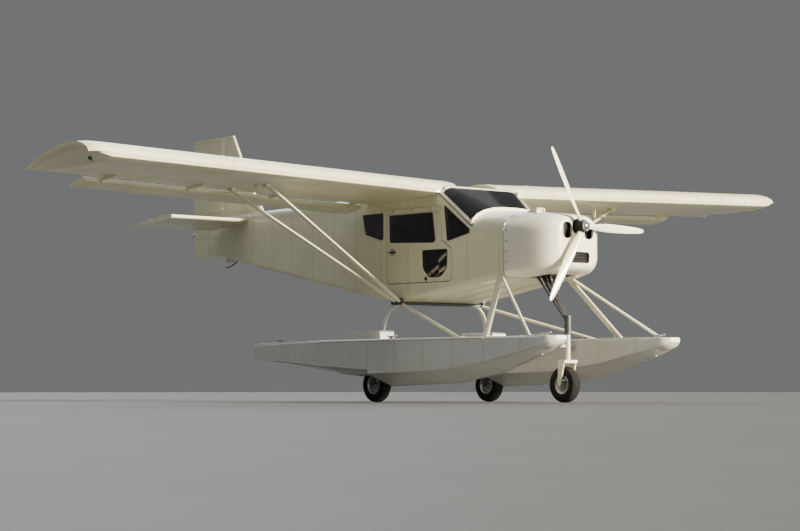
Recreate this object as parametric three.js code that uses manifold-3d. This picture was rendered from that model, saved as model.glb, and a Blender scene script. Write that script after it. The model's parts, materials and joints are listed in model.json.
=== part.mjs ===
// A two-seat high-wing light aircraft on amphibious twin floats, parked on its wheels.
// Units are millimetres. Nose towards -Y, port wing towards +X, up is +Z, floor at z = 0.
// Stations (y) are measured aft of the wing's leading-edge datum while modelling, and heights
// are given as drops below that datum. The whole group is shifted at the end, so that the
// origin lies on the floor under the middle of the aircraft's box.

import * as THREE from "three";
import { mergeVertices } from "three/addons/utils/BufferGeometryUtils.js";
import Module from "manifold-3d";

const wasm = await Module();
wasm.setup();

// Driving dimensions
const DATUM_HEIGHT = 2180; // the wing's leading edge above the floor at the tips
const SEAT_GAP = 0.3; // between pieces that touch

const WING = {
  root: 270,
  panelEnd: 4300,
  tipEnd: 4500,
  leadingEdge: 50,
  chord: 1100,
  rootDrop: 122,
  thickness: 0.17,
  camber: 0.04,
  incidence: THREE.MathUtils.degToRad(4.5),
  dihedral: THREE.MathUtils.degToRad(1.66),
};
// The flaperon's hinge line lies hingeAlong aft of the leading edge and hingeBelow the chord line
const FLAPERON = {
  inner: 590,
  outer: 3880,
  chord: 265,
  depth: 40,
  droop: 9,
  hingeAlong: 1122,
  hingeBelow: 32,
};
const CABIN = { firewall: -800, rear: 1300, wall: 35, glass: 6 };
const TAIL = { hinge: 4270, end: 4810, wall: 22, bulkhead: 14 };
const DOOR = { top: 296, pinDrop: 292, pinOut: 13, tubeRadius: 7.5, tubeFront: 40, tubeRear: 826, gap: 7 };
const STAB = { leadingEdge: 3570, hinge: 4000, trailingEdge: 4340, half: 1190, drop: 215, depth: 62 };
const FIN = { rootFront: 3500, top: -760, tipFront: 4060, depth: 56 };
const FLOAT = { centre: 750, half: 300, bow: -1840, step: 510, stern: 2540, deckDrop: 1570 };
const WHEEL = { radius: 170, width: 112, rim: 84, hub: 60, bore: 11.4, axle: 11 };
const MAIN_AXLE = { y: 720, x: FLOAT.centre };
const NOSE = { axleY: -1130, steerY: -1172, headDrop: 1470 };
const PROP = { y: -1372, drop: 530, radius: 825, hubRadius: 62, hubRear: 52, hubFront: 46, phase: 29 };
const STRUT = { foot: [540, 660, 1192], frontTop: [2330, 480, 130], rearTop: [2330, 1010, 165] };

const height = (drop) => DATUM_HEIGHT - drop;
const at = (x, y, drop) => new THREE.Vector3(x, y, height(drop));

// Paints and materials, as flat colours
const paint = (color, roughness = 0.5, metalness = 0) =>
  new THREE.MeshStandardMaterial({ color, roughness, metalness });
const CREAM = paint("#e8e4d2", 0.42);
const WHITE = paint("#eeecdf", 0.4);
const FLOAT_GREY = paint("#c9cbc8", 0.45);
const STEEL = paint("#5c5e60", 0.45, 0.8);
const DARK = paint("#2b2c2e", 0.6);
const RUBBER = paint("#161617", 0.9);
const GLASS = paint("#2c2b38", 0.1);
const SEAT_CLOTH = paint("#3a3c42", 0.95);

// Solids from closed geometries, and back

function solid(geometry) {
  const bare = geometry.clone();
  bare.deleteAttribute("normal");
  bare.deleteAttribute("uv");
  const merged = mergeVertices(bare, 1e-3);
  return new wasm.Manifold(
    new wasm.Mesh({
      numProp: 3,
      vertProperties: merged.getAttribute("position").array,
      triVerts: Uint32Array.from(merged.index.array),
    })
  );
}

function geometryOf(body) {
  const { vertProperties, triVerts } = body.getMesh();
  const geometry = new THREE.BufferGeometry();
  geometry.setAttribute("position", new THREE.BufferAttribute(vertProperties, 3));
  geometry.setIndex(new THREE.BufferAttribute(triVerts, 1));
  geometry.computeVertexNormals();
  return geometry;
}

const join = (bodies) => bodies.reduce((all, one) => all.add(one));
const cut = (body, tools) => tools.reduce((rest, tool) => rest.subtract(tool), body);

// The geometry of points and triangle indices as a solid, its faces turned outwards
function closed(points, faces) {
  const volume = faces.reduce(
    (sum, _, i) => (i % 3 ? sum : sum + points[faces[i]].dot(
      points[faces[i + 1]].clone().cross(points[faces[i + 2]]))),
    0
  );
  if (volume < 0) faces.reverse();
  const geometry = new THREE.BufferGeometry().setFromPoints(points);
  geometry.setIndex(faces);
  return solid(geometry);
}

// A flat ring cut into triangles in its own plane, as indices into the ring
function ringFaces(ring) {
  const normal = new THREE.Vector3();
  ring.forEach((p, i) => normal.add(p.clone().cross(ring[(i + 1) % ring.length])));
  const flatten = new THREE.Quaternion().setFromUnitVectors(normal.normalize(), new THREE.Vector3(0, 0, 1));
  const flat = ring.map((p) => p.clone().applyQuaternion(flatten)).map((p) => new THREE.Vector2(p.x, p.y));
  return THREE.ShapeUtils.triangulateShape(flat, []);
}

// A closed skin over a row of flat rings with equal numbers of points
function loft(rings) {
  const count = rings[0].length;
  const faces = [];
  for (let ring = 0; ring + 1 < rings.length; ring++) {
    for (let i = 0; i < count; i++) {
      const j = (i + 1) % count;
      const [a, b] = [ring * count + i, ring * count + j];
      faces.push(a, b, b + count, a, b + count, a + count);
    }
  }
  const last = (rings.length - 1) * count;
  for (const [a, b, c] of ringFaces(rings[0])) faces.push(c, b, a);
  for (const [a, b, c] of ringFaces(rings.at(-1))) faces.push(last + a, last + b, last + c);
  return closed(rings.flat(), faces);
}

function box([x0, y0, z0], [x1, y1, z1]) {
  const shape = new THREE.BoxGeometry(Math.abs(x1 - x0), Math.abs(y1 - y0), Math.abs(z1 - z0));
  return solid(shape.translate((x0 + x1) / 2, (y0 + y1) / 2, (z0 + z1) / 2));
}

// A round bar between two points
function rod(from, to, radius, sides = 12, endRadius = radius) {
  const along = to.clone().sub(from);
  const shape = new THREE.CylinderGeometry(endRadius, radius, along.length(), sides);
  const turn = new THREE.Quaternion().setFromUnitVectors(
    new THREE.Vector3(0, 1, 0), along.clone().normalize());
  shape.applyQuaternion(turn);
  return solid(shape.translate(...from.clone().add(to).divideScalar(2).toArray()));
}

// A streamlined bar between two points: an ellipse whose long axis lies fore and aft
function faired(from, to, chord, depth, sides = 14) {
  const along = to.clone().sub(from).normalize();
  const wide = new THREE.Vector3(0, 1, 0).addScaledVector(along, -along.y).normalize();
  const deep = along.clone().cross(wide);
  const ellipse = (centre) => disc(0, 0, 0.5, sides).map(([a, b]) =>
    centre.clone().addScaledVector(wide, a * chord).addScaledVector(deep, b * depth));
  return loft([ellipse(from), ellipse(to)]);
}

// A flat plate: an outline of pairs pushed along an axis from low to high.
// Across x the pairs are (y, drop), across y (x, drop) and across drop (x, y).
function plate(axis, outline, low, high) {
  const place = {
    x: ([a, b], c) => at(c, a, b),
    y: ([a, b], c) => at(a, c, b),
    z: ([a, b], c) => new THREE.Vector3(a, b, c),
  }[axis];
  const flat = outline.map((p) => new THREE.Vector2(...p));
  if (THREE.ShapeUtils.isClockWise(flat)) flat.reverse();
  const faces = THREE.ShapeUtils.triangulateShape(flat, []);
  const count = flat.length;
  const points = [low, high].flatMap((c) => flat.map((p) => place([p.x, p.y], c)));
  const index = [];
  for (const [a, b, c] of faces) index.push(a, b, c, c + count, b + count, a + count);
  for (let i = 0; i < count; i++) {
    const j = (i + 1) % count;
    index.push(j, i, i + count, j, i + count, j + count);
  }
  return closed(points, index);
}

// An outline with its corners rounded by arcs: corners are [a, b, radius]
function rounded(corners, steps = 4) {
  const outline = [];
  corners.forEach(([a, b, radius], i) => {
    const here = new THREE.Vector2(a, b);
    const before = new THREE.Vector2(...corners.at(i - 1).slice(0, 2)).sub(here);
    const after = new THREE.Vector2(...corners[(i + 1) % corners.length].slice(0, 2)).sub(here);
    const half = Math.acos(before.clone().normalize().dot(after.clone().normalize())) / 2;
    const back = radius / Math.tan(half);
    const start = here.clone().addScaledVector(before.normalize(), back);
    const end = here.clone().addScaledVector(after.normalize(), back);
    for (let k = 0; k <= steps; k++) {
      const t = k / steps;
      const bend = new THREE.Vector2()
        .addScaledVector(start, (1 - t) ** 2)
        .addScaledVector(here, 2 * t * (1 - t))
        .addScaledVector(end, t ** 2);
      outline.push(bend.toArray());
    }
  });
  return outline;
}

const disc = (a, b, radius, sides = 12, phase = 0) =>
  Array.from({ length: sides }, (_, i) => {
    const angle = (2 * Math.PI * (i + phase)) / sides;
    return [a + radius * Math.cos(angle), b + radius * Math.sin(angle)];
  });

const root = new THREE.Group();

function addPiece(name, body, material) {
  const mesh = new THREE.Mesh(geometryOf(body), material);
  mesh.name = name;
  root.add(mesh);
}

const SIDES = [["left", 1], ["right", -1]];

// Fuselage: sections with flat sides and rounded corners
// Columns: station, top drop, bottom drop, half width, top corner, bottom corner, top corner's width
const COWL_SECTIONS = [
  [-1312, 462, 888, 215, 120, 100, 120],
  [-1296, 438, 914, 262, 150, 120, 154],
  [-1235, 414, 945, 330, 172, 120, 196],
  [-1080, 392, 974, 402, 186, 100, 258],
  [CABIN.firewall - SEAT_GAP, 370, 1000, 480, 190, 80, 340],
];
const CABIN_SECTIONS = [
  [CABIN.firewall, 370, 1000, 480, 190, 80, 340],
  [-420, 340, 1046, 515, 184, 60, 425],
  [60, 78, 1120, 530, 120, 50, 128],
  [400, 52, 1166, 530, 110, 50, 110],
  [660, 60, 1200, 530, 110, 50, 110],
  [1300, 126, 1104, 500, 110, 50, 110],
];
const TAIL_SECTIONS = [
  [CABIN.rear + SEAT_GAP, 126, 1104, 500, 110, 50, 110],
  [2500, 132, 888, 345, 100, 44, 100],
  [3500, 135, 712, 196, 74, 36, 74],
  [4226, 135, 584, 62, 34, 24, 34],
];

function ring([y, top, bottom, half, crown, keel, crownWidth], skin = 0) {
  const [t, b, h] = [top + skin, bottom - skin, half - skin];
  const [c, k, w] = [crown, keel, crownWidth].map((size) => Math.max(size - skin, 8));
  const corners = [[h, t, c, w, -90], [h, b, k, k, 0], [-h, b, k, k, 90], [-h, t, c, w, 180]];
  return corners.flatMap(([x, drop, radius, width, start]) =>
    Array.from({ length: 6 }, (_, i) => {
      const angle = THREE.MathUtils.degToRad(start + i * 18);
      return at(
        x - Math.sign(x) * width + width * Math.cos(angle),
        y,
        (drop === t ? t + radius : b - radius) + radius * Math.sin(angle)
      );
    })
  );
}

function hull(sections, skin = 0, from = sections[0][0], to = sections.at(-1)[0]) {
  const sectionAt = (y) => {
    const next = Math.max(1, sections.findIndex((s) => s[0] >= y));
    const [a, b] = [sections[next - 1], sections[next]];
    const t = (y - a[0]) / (b[0] - a[0]);
    return a.map((value, i) => value + t * (b[i] - value));
  };
  const inside = sections.filter((s) => s[0] > from && s[0] < to);
  return loft([sectionAt(from), ...inside, sectionAt(to)].map((section) => ring(section, skin)));
}

// Wing: a cambered section set nose-up, with its underside swept up towards the tip
const SECTION_STEPS = 11;

function wingRing(x, { sweepUp = 0, grow = 0, trim = 0 } = {}) {
  const { chord, camber, thickness } = WING;
  const points = [];
  const side = (upper) => {
    for (let i = upper ? 0 : 1; i <= SECTION_STEPS; i++) {
      const s = (1 - Math.cos((Math.PI * i) / SECTION_STEPS)) / 2;
      const half = 5 * thickness * (0.2969 * Math.sqrt(s) - 0.126 * s - 0.3516 * s ** 2
        + 0.2843 * s ** 3 - 0.1015 * s ** 4);
      const line = s < 0.4 ? camber / 0.16 * (0.8 * s - s * s)
        : camber / 0.36 * (0.2 + 0.8 * s - s * s);
      const top = line + half + 0.0016;
      const under = line - half - 0.0016;
      points.push([s, upper ? top : under + sweepUp * (top - under - 0.012), s ? (upper ? 1 : -1) : 0]);
    }
  };
  side(true);
  const lower = points.length;
  side(false);
  const ordered = [...points.slice(0, lower).reverse(), ...points.slice(lower)];
  return ordered.map(([s, t, way]) =>
    onWing(x, trim + s * (chord - trim) + grow * (2 * s - 1), -(t * chord + grow * way)));
}

// A point a given way aft of the leading edge along the wing's chord, and under it
function onWing(x, along, under = 0) {
  const [cos, sin] = [Math.cos(WING.incidence), Math.sin(WING.incidence)];
  const drop = WING.rootDrop - (Math.abs(x) - WING.root) * Math.tan(WING.dihedral);
  return at(x, WING.leadingEdge + along * cos - under * sin, drop + along * sin + under * cos);
}

// Columns: span position, how far the underside has swept up, trim of the leading edge
const TIP_SECTIONS = [
  [WING.panelEnd, 0, 0],
  [WING.panelEnd + 70, 0.2, 4],
  [WING.panelEnd + 140, 0.58, 26],
  [WING.tipEnd, 0.94, 84],
];

const flaperonHinge = (x) => onWing(x, FLAPERON.hingeAlong, FLAPERON.hingeBelow);
const HINGES_PER_FLAPERON = 4;
const hingeSpans = Array.from({ length: HINGES_PER_FLAPERON }, (_, i) =>
  FLAPERON.inner + 180 + (i * (FLAPERON.outer - FLAPERON.inner - 360)) / (HINGES_PER_FLAPERON - 1)
);
const PIN = { radius: 5, hole: 5.4, lug: 11, lugHalf: 4, slotHalf: 11, slotBack: 19 };

// A lug around a hinge pin whose axis runs across the aircraft: from two root points to the pin
function crossLug(x, pin, rootPoints) {
  const drop = DATUM_HEIGHT - pin.z;
  const end = disc(pin.y, drop, PIN.lug, 12);
  const far = rootPoints.map((p) => [p.y, DATUM_HEIGHT - p.z]);
  const strap = convex([...end, ...far]);
  const body = plate("x", strap, x - PIN.lugHalf, x + PIN.lugHalf);
  return cut(body, [plate("x", disc(pin.y, drop, PIN.hole / Math.cos(Math.PI / 12), 12), x - 20, x + 20)]);
}

// The convex outline around a few points of a plane
function convex(points) {
  const sorted = [...points].sort((p, q) => p[0] - q[0] || p[1] - q[1]);
  const turn = (o, a, b) => (a[0] - o[0]) * (b[1] - o[1]) - (a[1] - o[1]) * (b[0] - o[0]);
  const chain = (list) => {
    const out = [];
    for (const p of list) {
      while (out.length > 1 && turn(out.at(-2), out.at(-1), p) <= 1e-9) out.pop();
      out.push(p);
    }
    return out.slice(0, -1);
  };
  return [...chain(sorted), ...chain(sorted.reverse())];
}

function wingPanel(sign) {
  const rings = [wingRing(sign * WING.root)];
  for (const [x, sweepUp, trim] of TIP_SECTIONS) rings.push(wingRing(sign * x, { sweepUp, trim }));
  const panel = loft(rings);
  const brackets = hingeSpans.map((x) =>
    crossLug(sign * x, flaperonHinge(sign * x), [
      onWing(sign * x, 830, 8), onWing(sign * x, 1010, 0), onWing(sign * x, 850, 34)]));
  return join([panel, ...brackets]);
}

// Flaperon: a thin section hung below and behind the wing's trailing edge, drooped a little
function flaperonRing(x) {
  const hinge = flaperonHinge(x);
  const droop = THREE.MathUtils.degToRad(FLAPERON.droop) + WING.incidence;
  const [cos, sin] = [Math.cos(droop), Math.sin(droop)];
  const half = FLAPERON.depth / 2;
  const nose = Array.from({ length: 7 }, (_, i) => {
    const angle = THREE.MathUtils.degToRad(90 + i * 30);
    return [half * Math.cos(angle), half * Math.sin(angle)];
  });
  const outline = [...nose, [100, -half * 0.92], [FLAPERON.chord - 20, -3], [FLAPERON.chord - 20, 2],
    [110, half * 0.98]];
  return outline.map(([along, up]) =>
    new THREE.Vector3(x, hinge.y + along * cos + up * sin, hinge.z - along * sin + up * cos));
}

function flaperon(sign) {
  const spans = [FLAPERON.inner, FLAPERON.outer];
  const blade = loft(spans.map((x) => flaperonRing(sign * x)));
  return hungOnPins(blade, hingeSpans.map((x) => [sign * x, flaperonHinge(sign * x)]));
}

// Slots in a moving surface's nose for the lugs, and a pin left across each slot
function hungOnPins(blade, hinges) {
  const slots = hinges.map(([x, pin]) =>
    box([x - PIN.slotHalf, pin.y - 60, pin.z - 60], [x + PIN.slotHalf, pin.y + PIN.slotBack, pin.z + 60]));
  const pins = hinges.map(([x, pin]) => {
    const reach = new THREE.Vector3(PIN.slotHalf + 3, 0, 0);
    const middle = new THREE.Vector3(x, pin.y, pin.z);
    return rod(middle.clone().sub(reach), middle.clone().add(reach), PIN.radius);
  });
  return join([cut(blade, slots), ...pins]);
}

// The inner wings with the touching gap around them, to cut out of what meets them
const wingClearance = SIDES.map(([, sign]) =>
  loft([WING.root - SEAT_GAP, 2600].map((x) => wingRing(sign * x, { grow: 3 * SEAT_GAP }))));

for (const [side, sign] of SIDES) {
  addPiece(`wing_${side}`, wingPanel(sign), CREAM);
  addPiece(`flaperon_${side}`, flaperon(sign), CREAM);
}

const ROOF = { half: WING.root - 2 * SEAT_GAP, front: 53, rear: 1180 };

// Openings of the cabin, as side-view outlines of (station, drop, corner radius)
const WINDSHIELD = [[-404, -40, 5], [ROOF.front, -40, 5], [ROOF.front, 168, 12], [-404, 506, 12]];
const DOOR_OUTLINE = [[20, DOOR.top, 12], [846, DOOR.top, 12], [846, 1020, 70],
  [-128, 1020, 60], [-128, 700, 30], [20, 604, 40]];
const DOOR_WINDOW = [[150, 338, 24], [800, 338, 24], [792, 604, 36], [106, 632, 36]];
const DOOR_PORT = [[-62, 702, 14], [300, 702, 14], [291, 884, 100], [205, 968, 90], [33, 968, 90],
  [-53, 884, 100]];
const QUARTER_WINDOW = [[-24, 276, 12], [-64, 626, 16], [-372, 560, 8], [-372, 528, 4]];
const REAR_WINDOW = [[900, 306, 16], [1236, 306, 20], [1190, 500, 36], [900, 580, 30]];

// An outline of rounded corners moved outwards by a margin, all along its edge
function grown(corners, margin) {
  const turns = THREE.ShapeUtils.isClockWise(corners.map((p) => new THREE.Vector2(p[0], p[1]))) ? -1 : 1;
  return corners.map(([a, b, radius], i) => {
    const before = corners.at(i - 1);
    const after = corners[(i + 1) % corners.length];
    const normals = [[before, [a, b]], [[a, b], after]].map(([p, q]) =>
      new THREE.Vector2(q[1] - p[1], p[0] - q[0]).normalize().multiplyScalar(turns));
    const sum = normals[0].clone().add(normals[1]);
    const shift = sum.multiplyScalar((2 * margin) / sum.lengthSq());
    return [a + shift.x, b + shift.y, Math.max(radius + margin, 1)];
  });
}

// Cutters and halves that reach past the cabin's sides
const PAST_SIDE = 700;
const through = (corners, margin = 0, low = -PAST_SIDE, high = PAST_SIDE) =>
  plate("x", rounded(grown(corners, margin)), low, high);
const halfSpace = (sign) => [sign > 0 ? 5 : -PAST_SIDE, sign > 0 ? PAST_SIDE : -5];

const cabinOuter = hull(CABIN_SECTIONS);
const cabinInner = hull(CABIN_SECTIONS, CABIN.wall, CABIN.firewall + 20, CABIN.rear);
const rearSection = CABIN_SECTIONS.at(-1).slice(1);
const rearMouth = hull([[CABIN.rear - 10, ...rearSection], [CABIN.rear + 10, ...rearSection]], CABIN.wall);
const cabinRoom = join([cabinInner, rearMouth]);
const glassInner = hull(CABIN_SECTIONS, CABIN.glass);
const roofStrip = box([-ROOF.half, ROOF.front, height(200)], [ROOF.half, ROOF.rear, height(-60)]);
const roofInner = hull(CABIN_SECTIONS, 14);

function cabinShell() {
  const roofOpening = box(
    [-ROOF.half - SEAT_GAP, ROOF.front - SEAT_GAP, height(240)],
    [ROOF.half + SEAT_GAP, ROOF.rear + SEAT_GAP, height(-80)]);
  const aboveWing = SIDES.map(([, sign]) =>
    box([sign * (WING.root - SEAT_GAP), 40, height(124)], [sign * 700, 130, height(-80)]));
  const shell = cut(cabinOuter, [
    cabinRoom, ...wingClearance, roofOpening, ...aboveWing,
    through(WINDSHIELD), through(DOOR_OUTLINE), through(QUARTER_WINDOW), through(REAR_WINDOW),
  ]);
  const lugs = SIDES.flatMap(([, sign]) => DOOR_HINGES.map((y) => doorLug(sign, y)));
  return join([shell, ...lugs]);
}

// The doors hang on lugs of the shell by a long piano pin just outside the cabin's flat side
const CABIN_HALF = CABIN_SECTIONS[3][3];
const DOOR_HINGES = [150, 433, 716];
const DOOR_PIN = { x: CABIN_HALF + DOOR.pinOut, radius: 3.5, hole: 3.9, lug: 7 };

function doorLug(sign, y) {
  const [pinX, drop, rootX] = [sign * DOOR_PIN.x, DOOR.pinDrop, sign * (CABIN_HALF - 8)];
  const lug = convex([...disc(pinX, drop, DOOR_PIN.lug), [rootX, drop - 26], [rootX, drop - 8]]);
  const hole = plate("y", disc(pinX, drop, DOOR_PIN.hole / Math.cos(Math.PI / 12)), y - 20, y + 20);
  return cut(plate("y", lug, y - PIN.lugHalf, y + PIN.lugHalf), [hole]);
}

function door(sign) {
  const outline = grown(DOOR_OUTLINE, -DOOR.gap);
  const panel = cut(cabinOuter.intersect(plate("x", rounded(outline), ...halfSpace(sign))), [
    cabinInner, through(DOOR_WINDOW), through(DOOR_PORT)]);
  const { pinDrop, tubeRadius, tubeFront, tubeRear } = DOOR;
  const pinX = sign * DOOR_PIN.x;
  const strapFoot = height(pinDrop + 38);
  const tube = rod(at(pinX, tubeFront, pinDrop), at(pinX, tubeRear, pinDrop), tubeRadius);
  const strap = box(
    [pinX - tubeRadius, tubeFront, strapFoot], [pinX + tubeRadius, tubeRear, height(pinDrop)]);
  const flange = box(
    [sign * (CABIN_HALF - 10), tubeFront, strapFoot], [pinX, tubeRear, height(DOOR.top + DOOR.gap + 1)]);
  const slots = DOOR_HINGES.map((y) => box(
    [sign * (CABIN_HALF - 2), y - 10, height(pinDrop + 24)],
    [sign * (CABIN_HALF + 70), y + 10, height(pinDrop - 24)]));
  const pin = rod(
    at(pinX, tubeFront + 20, pinDrop), at(pinX, tubeRear - 20, pinDrop), DOOR_PIN.radius);
  return join([cut(join([panel, tube, strap, flange]), slots), pin]);
}

// A window pane that follows the cabin's outside, on one side or, with sign 0, right across
function pane(corners, sign) {
  const range = sign ? halfSpace(sign) : [-PAST_SIDE, PAST_SIDE];
  return cut(cabinOuter.intersect(through(corners, -SEAT_GAP, ...range)), [glassInner, ...wingClearance]);
}

addPiece("cabin_shell", cabinShell(), CREAM);
addPiece("windshield", pane(WINDSHIELD, 0), GLASS);
addPiece("roof_skin", cut(cabinOuter.intersect(roofStrip), [roofInner, ...wingClearance]), CREAM);
for (const [side, sign] of SIDES) {
  addPiece(`door_${side}`, door(sign), CREAM);
  addPiece(`door_window_${side}`, pane(DOOR_WINDOW, sign), GLASS);
  addPiece(`door_port_${side}`, pane(DOOR_PORT, sign), GLASS);
  addPiece(`quarter_window_${side}`, pane(QUARTER_WINDOW, sign), GLASS);
  addPiece(`rear_window_${side}`, pane(REAR_WINDOW, sign), GLASS);
}

// Tail cone: hollow, closed by a bulkhead with a round hole, and a skid under its end
function tailCone() {
  const outer = hull(TAIL_SECTIONS);
  const room = hull(TAIL_SECTIONS, TAIL.wall, CABIN.rear + SEAT_GAP + TAIL.bulkhead, 3900);
  const hole = rod(at(0, 1290, 560), at(0, 1330, 560), 190, 24);
  const torqueTube = rod(at(-300, STAB.hinge, elevatorDrop), at(300, STAB.hinge, elevatorDrop), 22, 16);
  const skid = plate("x", [[3960, 600], [4190, 570], [4190, 640], [4150, 662], [4040, 640]], -14, 14);
  return cut(join([outer, skid]), [room, hole, torqueTube, stabClearance()]);
}

// Tailplane: fixed front part with rounded nose, and the elevator behind it
function stabOutline(grow = 0) {
  const half = STAB.depth / 2 + grow;
  const nose = Array.from({ length: 7 }, (_, i) => {
    const angle = THREE.MathUtils.degToRad(90 + i * 30);
    return [STAB.leadingEdge + 40 + (40 + grow) * Math.cos(angle), -half * Math.sin(angle) * 0.72];
  });
  return [...nose, [STAB.leadingEdge + 170, half], [STAB.hinge - 28 + grow, half * 0.86],
    [STAB.hinge - 28 + grow, -half * 0.86], [STAB.leadingEdge + 170, -half]]
    .map(([y, up]) => [y, STAB.drop + 0.1 * (y - STAB.leadingEdge) * 0.9 - up]);
}
const stabClearance = () => plate("x", stabOutline(0.5), -400, 400);
const elevatorDrop = STAB.drop + 0.09 * (STAB.hinge - STAB.leadingEdge);
const ELEVATOR_HINGES = [330, 700, 1070];
const elevatorPin = new THREE.Vector3(0, STAB.hinge, height(elevatorDrop));

function stabiliser() {
  const blade = plate("x", stabOutline(), -STAB.half, STAB.half);
  const lugs = ELEVATOR_HINGES.flatMap((x) => [x, -x]).map((x) =>
    crossLug(x, elevatorPin, [
      new THREE.Vector3(x, STAB.hinge - 34, elevatorPin.z + 10),
      new THREE.Vector3(x, STAB.hinge - 34, elevatorPin.z - 10)]));
  return join([blade, ...lugs]);
}

function elevator() {
  const half = 22;
  const nose = Array.from({ length: 7 }, (_, i) => {
    const angle = THREE.MathUtils.degToRad(90 + i * 30);
    return [STAB.hinge + half * Math.cos(angle), elevatorDrop - half * Math.sin(angle)];
  });
  const end = elevatorDrop + 0.09 * (STAB.trailingEdge - STAB.hinge);
  const outline = [...nose, [STAB.trailingEdge, end + 4], [STAB.trailingEdge, end - 4]];
  const halves = SIDES.map(([, sign]) => {
    const span = [120, STAB.half].map((x) => sign * x).sort((a, b) => a - b);
    const hinges = ELEVATOR_HINGES.map((x) => [sign * x, elevatorPin]);
    return hungOnPins(plate("x", outline, ...span), hinges);
  });
  const tube = rod(elevatorPin.clone().setX(-140), elevatorPin.clone().setX(140), 15);
  return join([...halves, tube]);
}

// Fin and rudder. Sections run up the fin: columns are drop, front station, rear station, depth
const FIN_ROWS = [
  [135 - SEAT_GAP, FIN.rootFront, 4226, FIN.depth],
  [-180, 3745, 4226, FIN.depth],
  [FIN.top, FIN.tipFront, 4226, 40],
];

function finRing([drop, front, rear, depth]) {
  const half = depth / 2;
  const nose = Array.from({ length: 7 }, (_, i) => {
    const angle = THREE.MathUtils.degToRad(90 + i * 30);
    return [half * 0.8 * Math.sin(angle), front + 30 + 30 * Math.cos(angle)];
  });
  return [...nose, [-half, front + 130], [-half * 0.8, rear], [half * 0.8, rear], [half, front + 130]]
    .map(([x, y]) => at(x, y, drop));
}

const RUDDER = { nose: 22, bottom: 470, top: FIN.top + 10, hingeDrops: [420, 30, -560] };

function downLug(drop) {
  const strap = convex([...disc(0, TAIL.hinge, PIN.lug, 12), [-11, 4200], [11, 4200]]);
  const [low, high] = [height(drop) - PIN.lugHalf, height(drop) + PIN.lugHalf];
  const hole = plate("z", disc(0, TAIL.hinge, PIN.hole / Math.cos(Math.PI / 12), 12), low - 9, high + 9);
  return cut(plate("z", strap, low, high), [hole]);
}

function fin() {
  const blade = loft(FIN_ROWS.map(finRing));
  return join([blade, ...RUDDER.hingeDrops.slice(1).map(downLug)]);
}

function rudder() {
  const outline = (tail) => [
    ...Array.from({ length: 7 }, (_, i) => {
      const angle = THREE.MathUtils.degToRad(90 + i * 30);
      return [RUDDER.nose * Math.sin(angle), TAIL.hinge + RUDDER.nose * Math.cos(angle)];
    }),
    [-4, tail], [4, tail]];
  const rows = [[RUDDER.bottom + 108, TAIL.end - 130], [RUDDER.bottom + 60, TAIL.end - 30],
    [RUDDER.bottom, TAIL.end], [RUDDER.top, TAIL.end]];
  const blade = loft(rows.map(([drop, tail]) => outline(tail).map(([x, y]) => at(x, y, drop))));
  const slots = RUDDER.hingeDrops.map((drop) => box(
    [-60, TAIL.hinge - 60, height(drop) - PIN.slotHalf],
    [60, TAIL.hinge + PIN.slotBack, height(drop) + PIN.slotHalf]));
  const pins = RUDDER.hingeDrops.map((drop) => rod(
    new THREE.Vector3(0, TAIL.hinge, height(drop) - PIN.slotHalf - 3),
    new THREE.Vector3(0, TAIL.hinge, height(drop) + PIN.slotHalf + 3), PIN.radius));
  return join([cut(blade, slots), ...pins]);
}

addPiece("tail_cone", join([tailCone(), downLug(RUDDER.hingeDrops[0])]), CREAM);
addPiece("stabiliser", stabiliser(), CREAM);
addPiece("elevator", elevator(), CREAM);
addPiece("fin", fin(), CREAM);
addPiece("rudder", rudder(), CREAM);

// A crossbar under the belly carries the wing struts and the rear float legs
const CROSSBAR = { y: 660, top: 1200 + SEAT_GAP, depth: 24, half: 548 };

function crossbar() {
  const { y, top, depth, half } = CROSSBAR;
  const bar = box([-half, y - 55, height(top + depth)], [half, y + 55, height(top)]);
  const ends = SIDES.map(([, sign]) =>
    box([sign * (half - 8), y - 80, height(top + depth)], [sign * (half + 4), y + 80, height(1158)]));
  return join([bar, ...ends]);
}

addPiece("gear_crossbar", crossbar(), STEEL);
const crossbarReach = CROSSBAR.half + 4 + SEAT_GAP;
const crossbarSkin = box(
  [-crossbarReach, CROSSBAR.y - 81, height(CROSSBAR.top + CROSSBAR.depth + SEAT_GAP)],
  [crossbarReach, CROSSBAR.y + 81, height(1100)]);

// Wing struts: streamlined, from the crossbar's ends to the wing's two spars
// Columns: name, top point, shift of the foot along y, chord, depth
const STRUT_ROWS = [
  ["front", STRUT.frontTop, -34, 62, 28],
  ["rear", STRUT.rearTop, 34, 54, 26],
];

for (const [side, sign] of SIDES) {
  for (const [name, [topX, topY, topDrop], shift, chord, depth] of STRUT_ROWS) {
    const [footX, footY, footDrop] = STRUT.foot;
    const bar = faired(
      at(sign * footX, footY + shift, footDrop), at(sign * topX, topY, topDrop), chord, depth);
    addPiece(`${name}_strut_${side}`, cut(bar, [...wingClearance, crossbarSkin]), CREAM);
  }
}

// Nose: cowling with its openings, the engine block, exhaust and propeller
const COWL = { wall: 12, spinnerHole: 70, cutFront: -1400, cutRear: -1180 };
// Openings in the cowling's front, as corners of (x, drop, radius); the cheek is mirrored
const CHEEK_INTAKE = [[84, 492, 14], [184, 500, 40], [186, 646, 40], [84, 640, 20]];
const LOWER_INTAKE = [[-145, 768, 24], [145, 768, 24], [145, 872, 24], [-145, 872, 24]];
// The outlet under the firewall, as corners of (x, station, radius)
const COWL_OUTLET = [[-170, -1040, 40], [170, -1040, 40], [170, -760, 30], [-170, -760, 30]];

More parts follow.
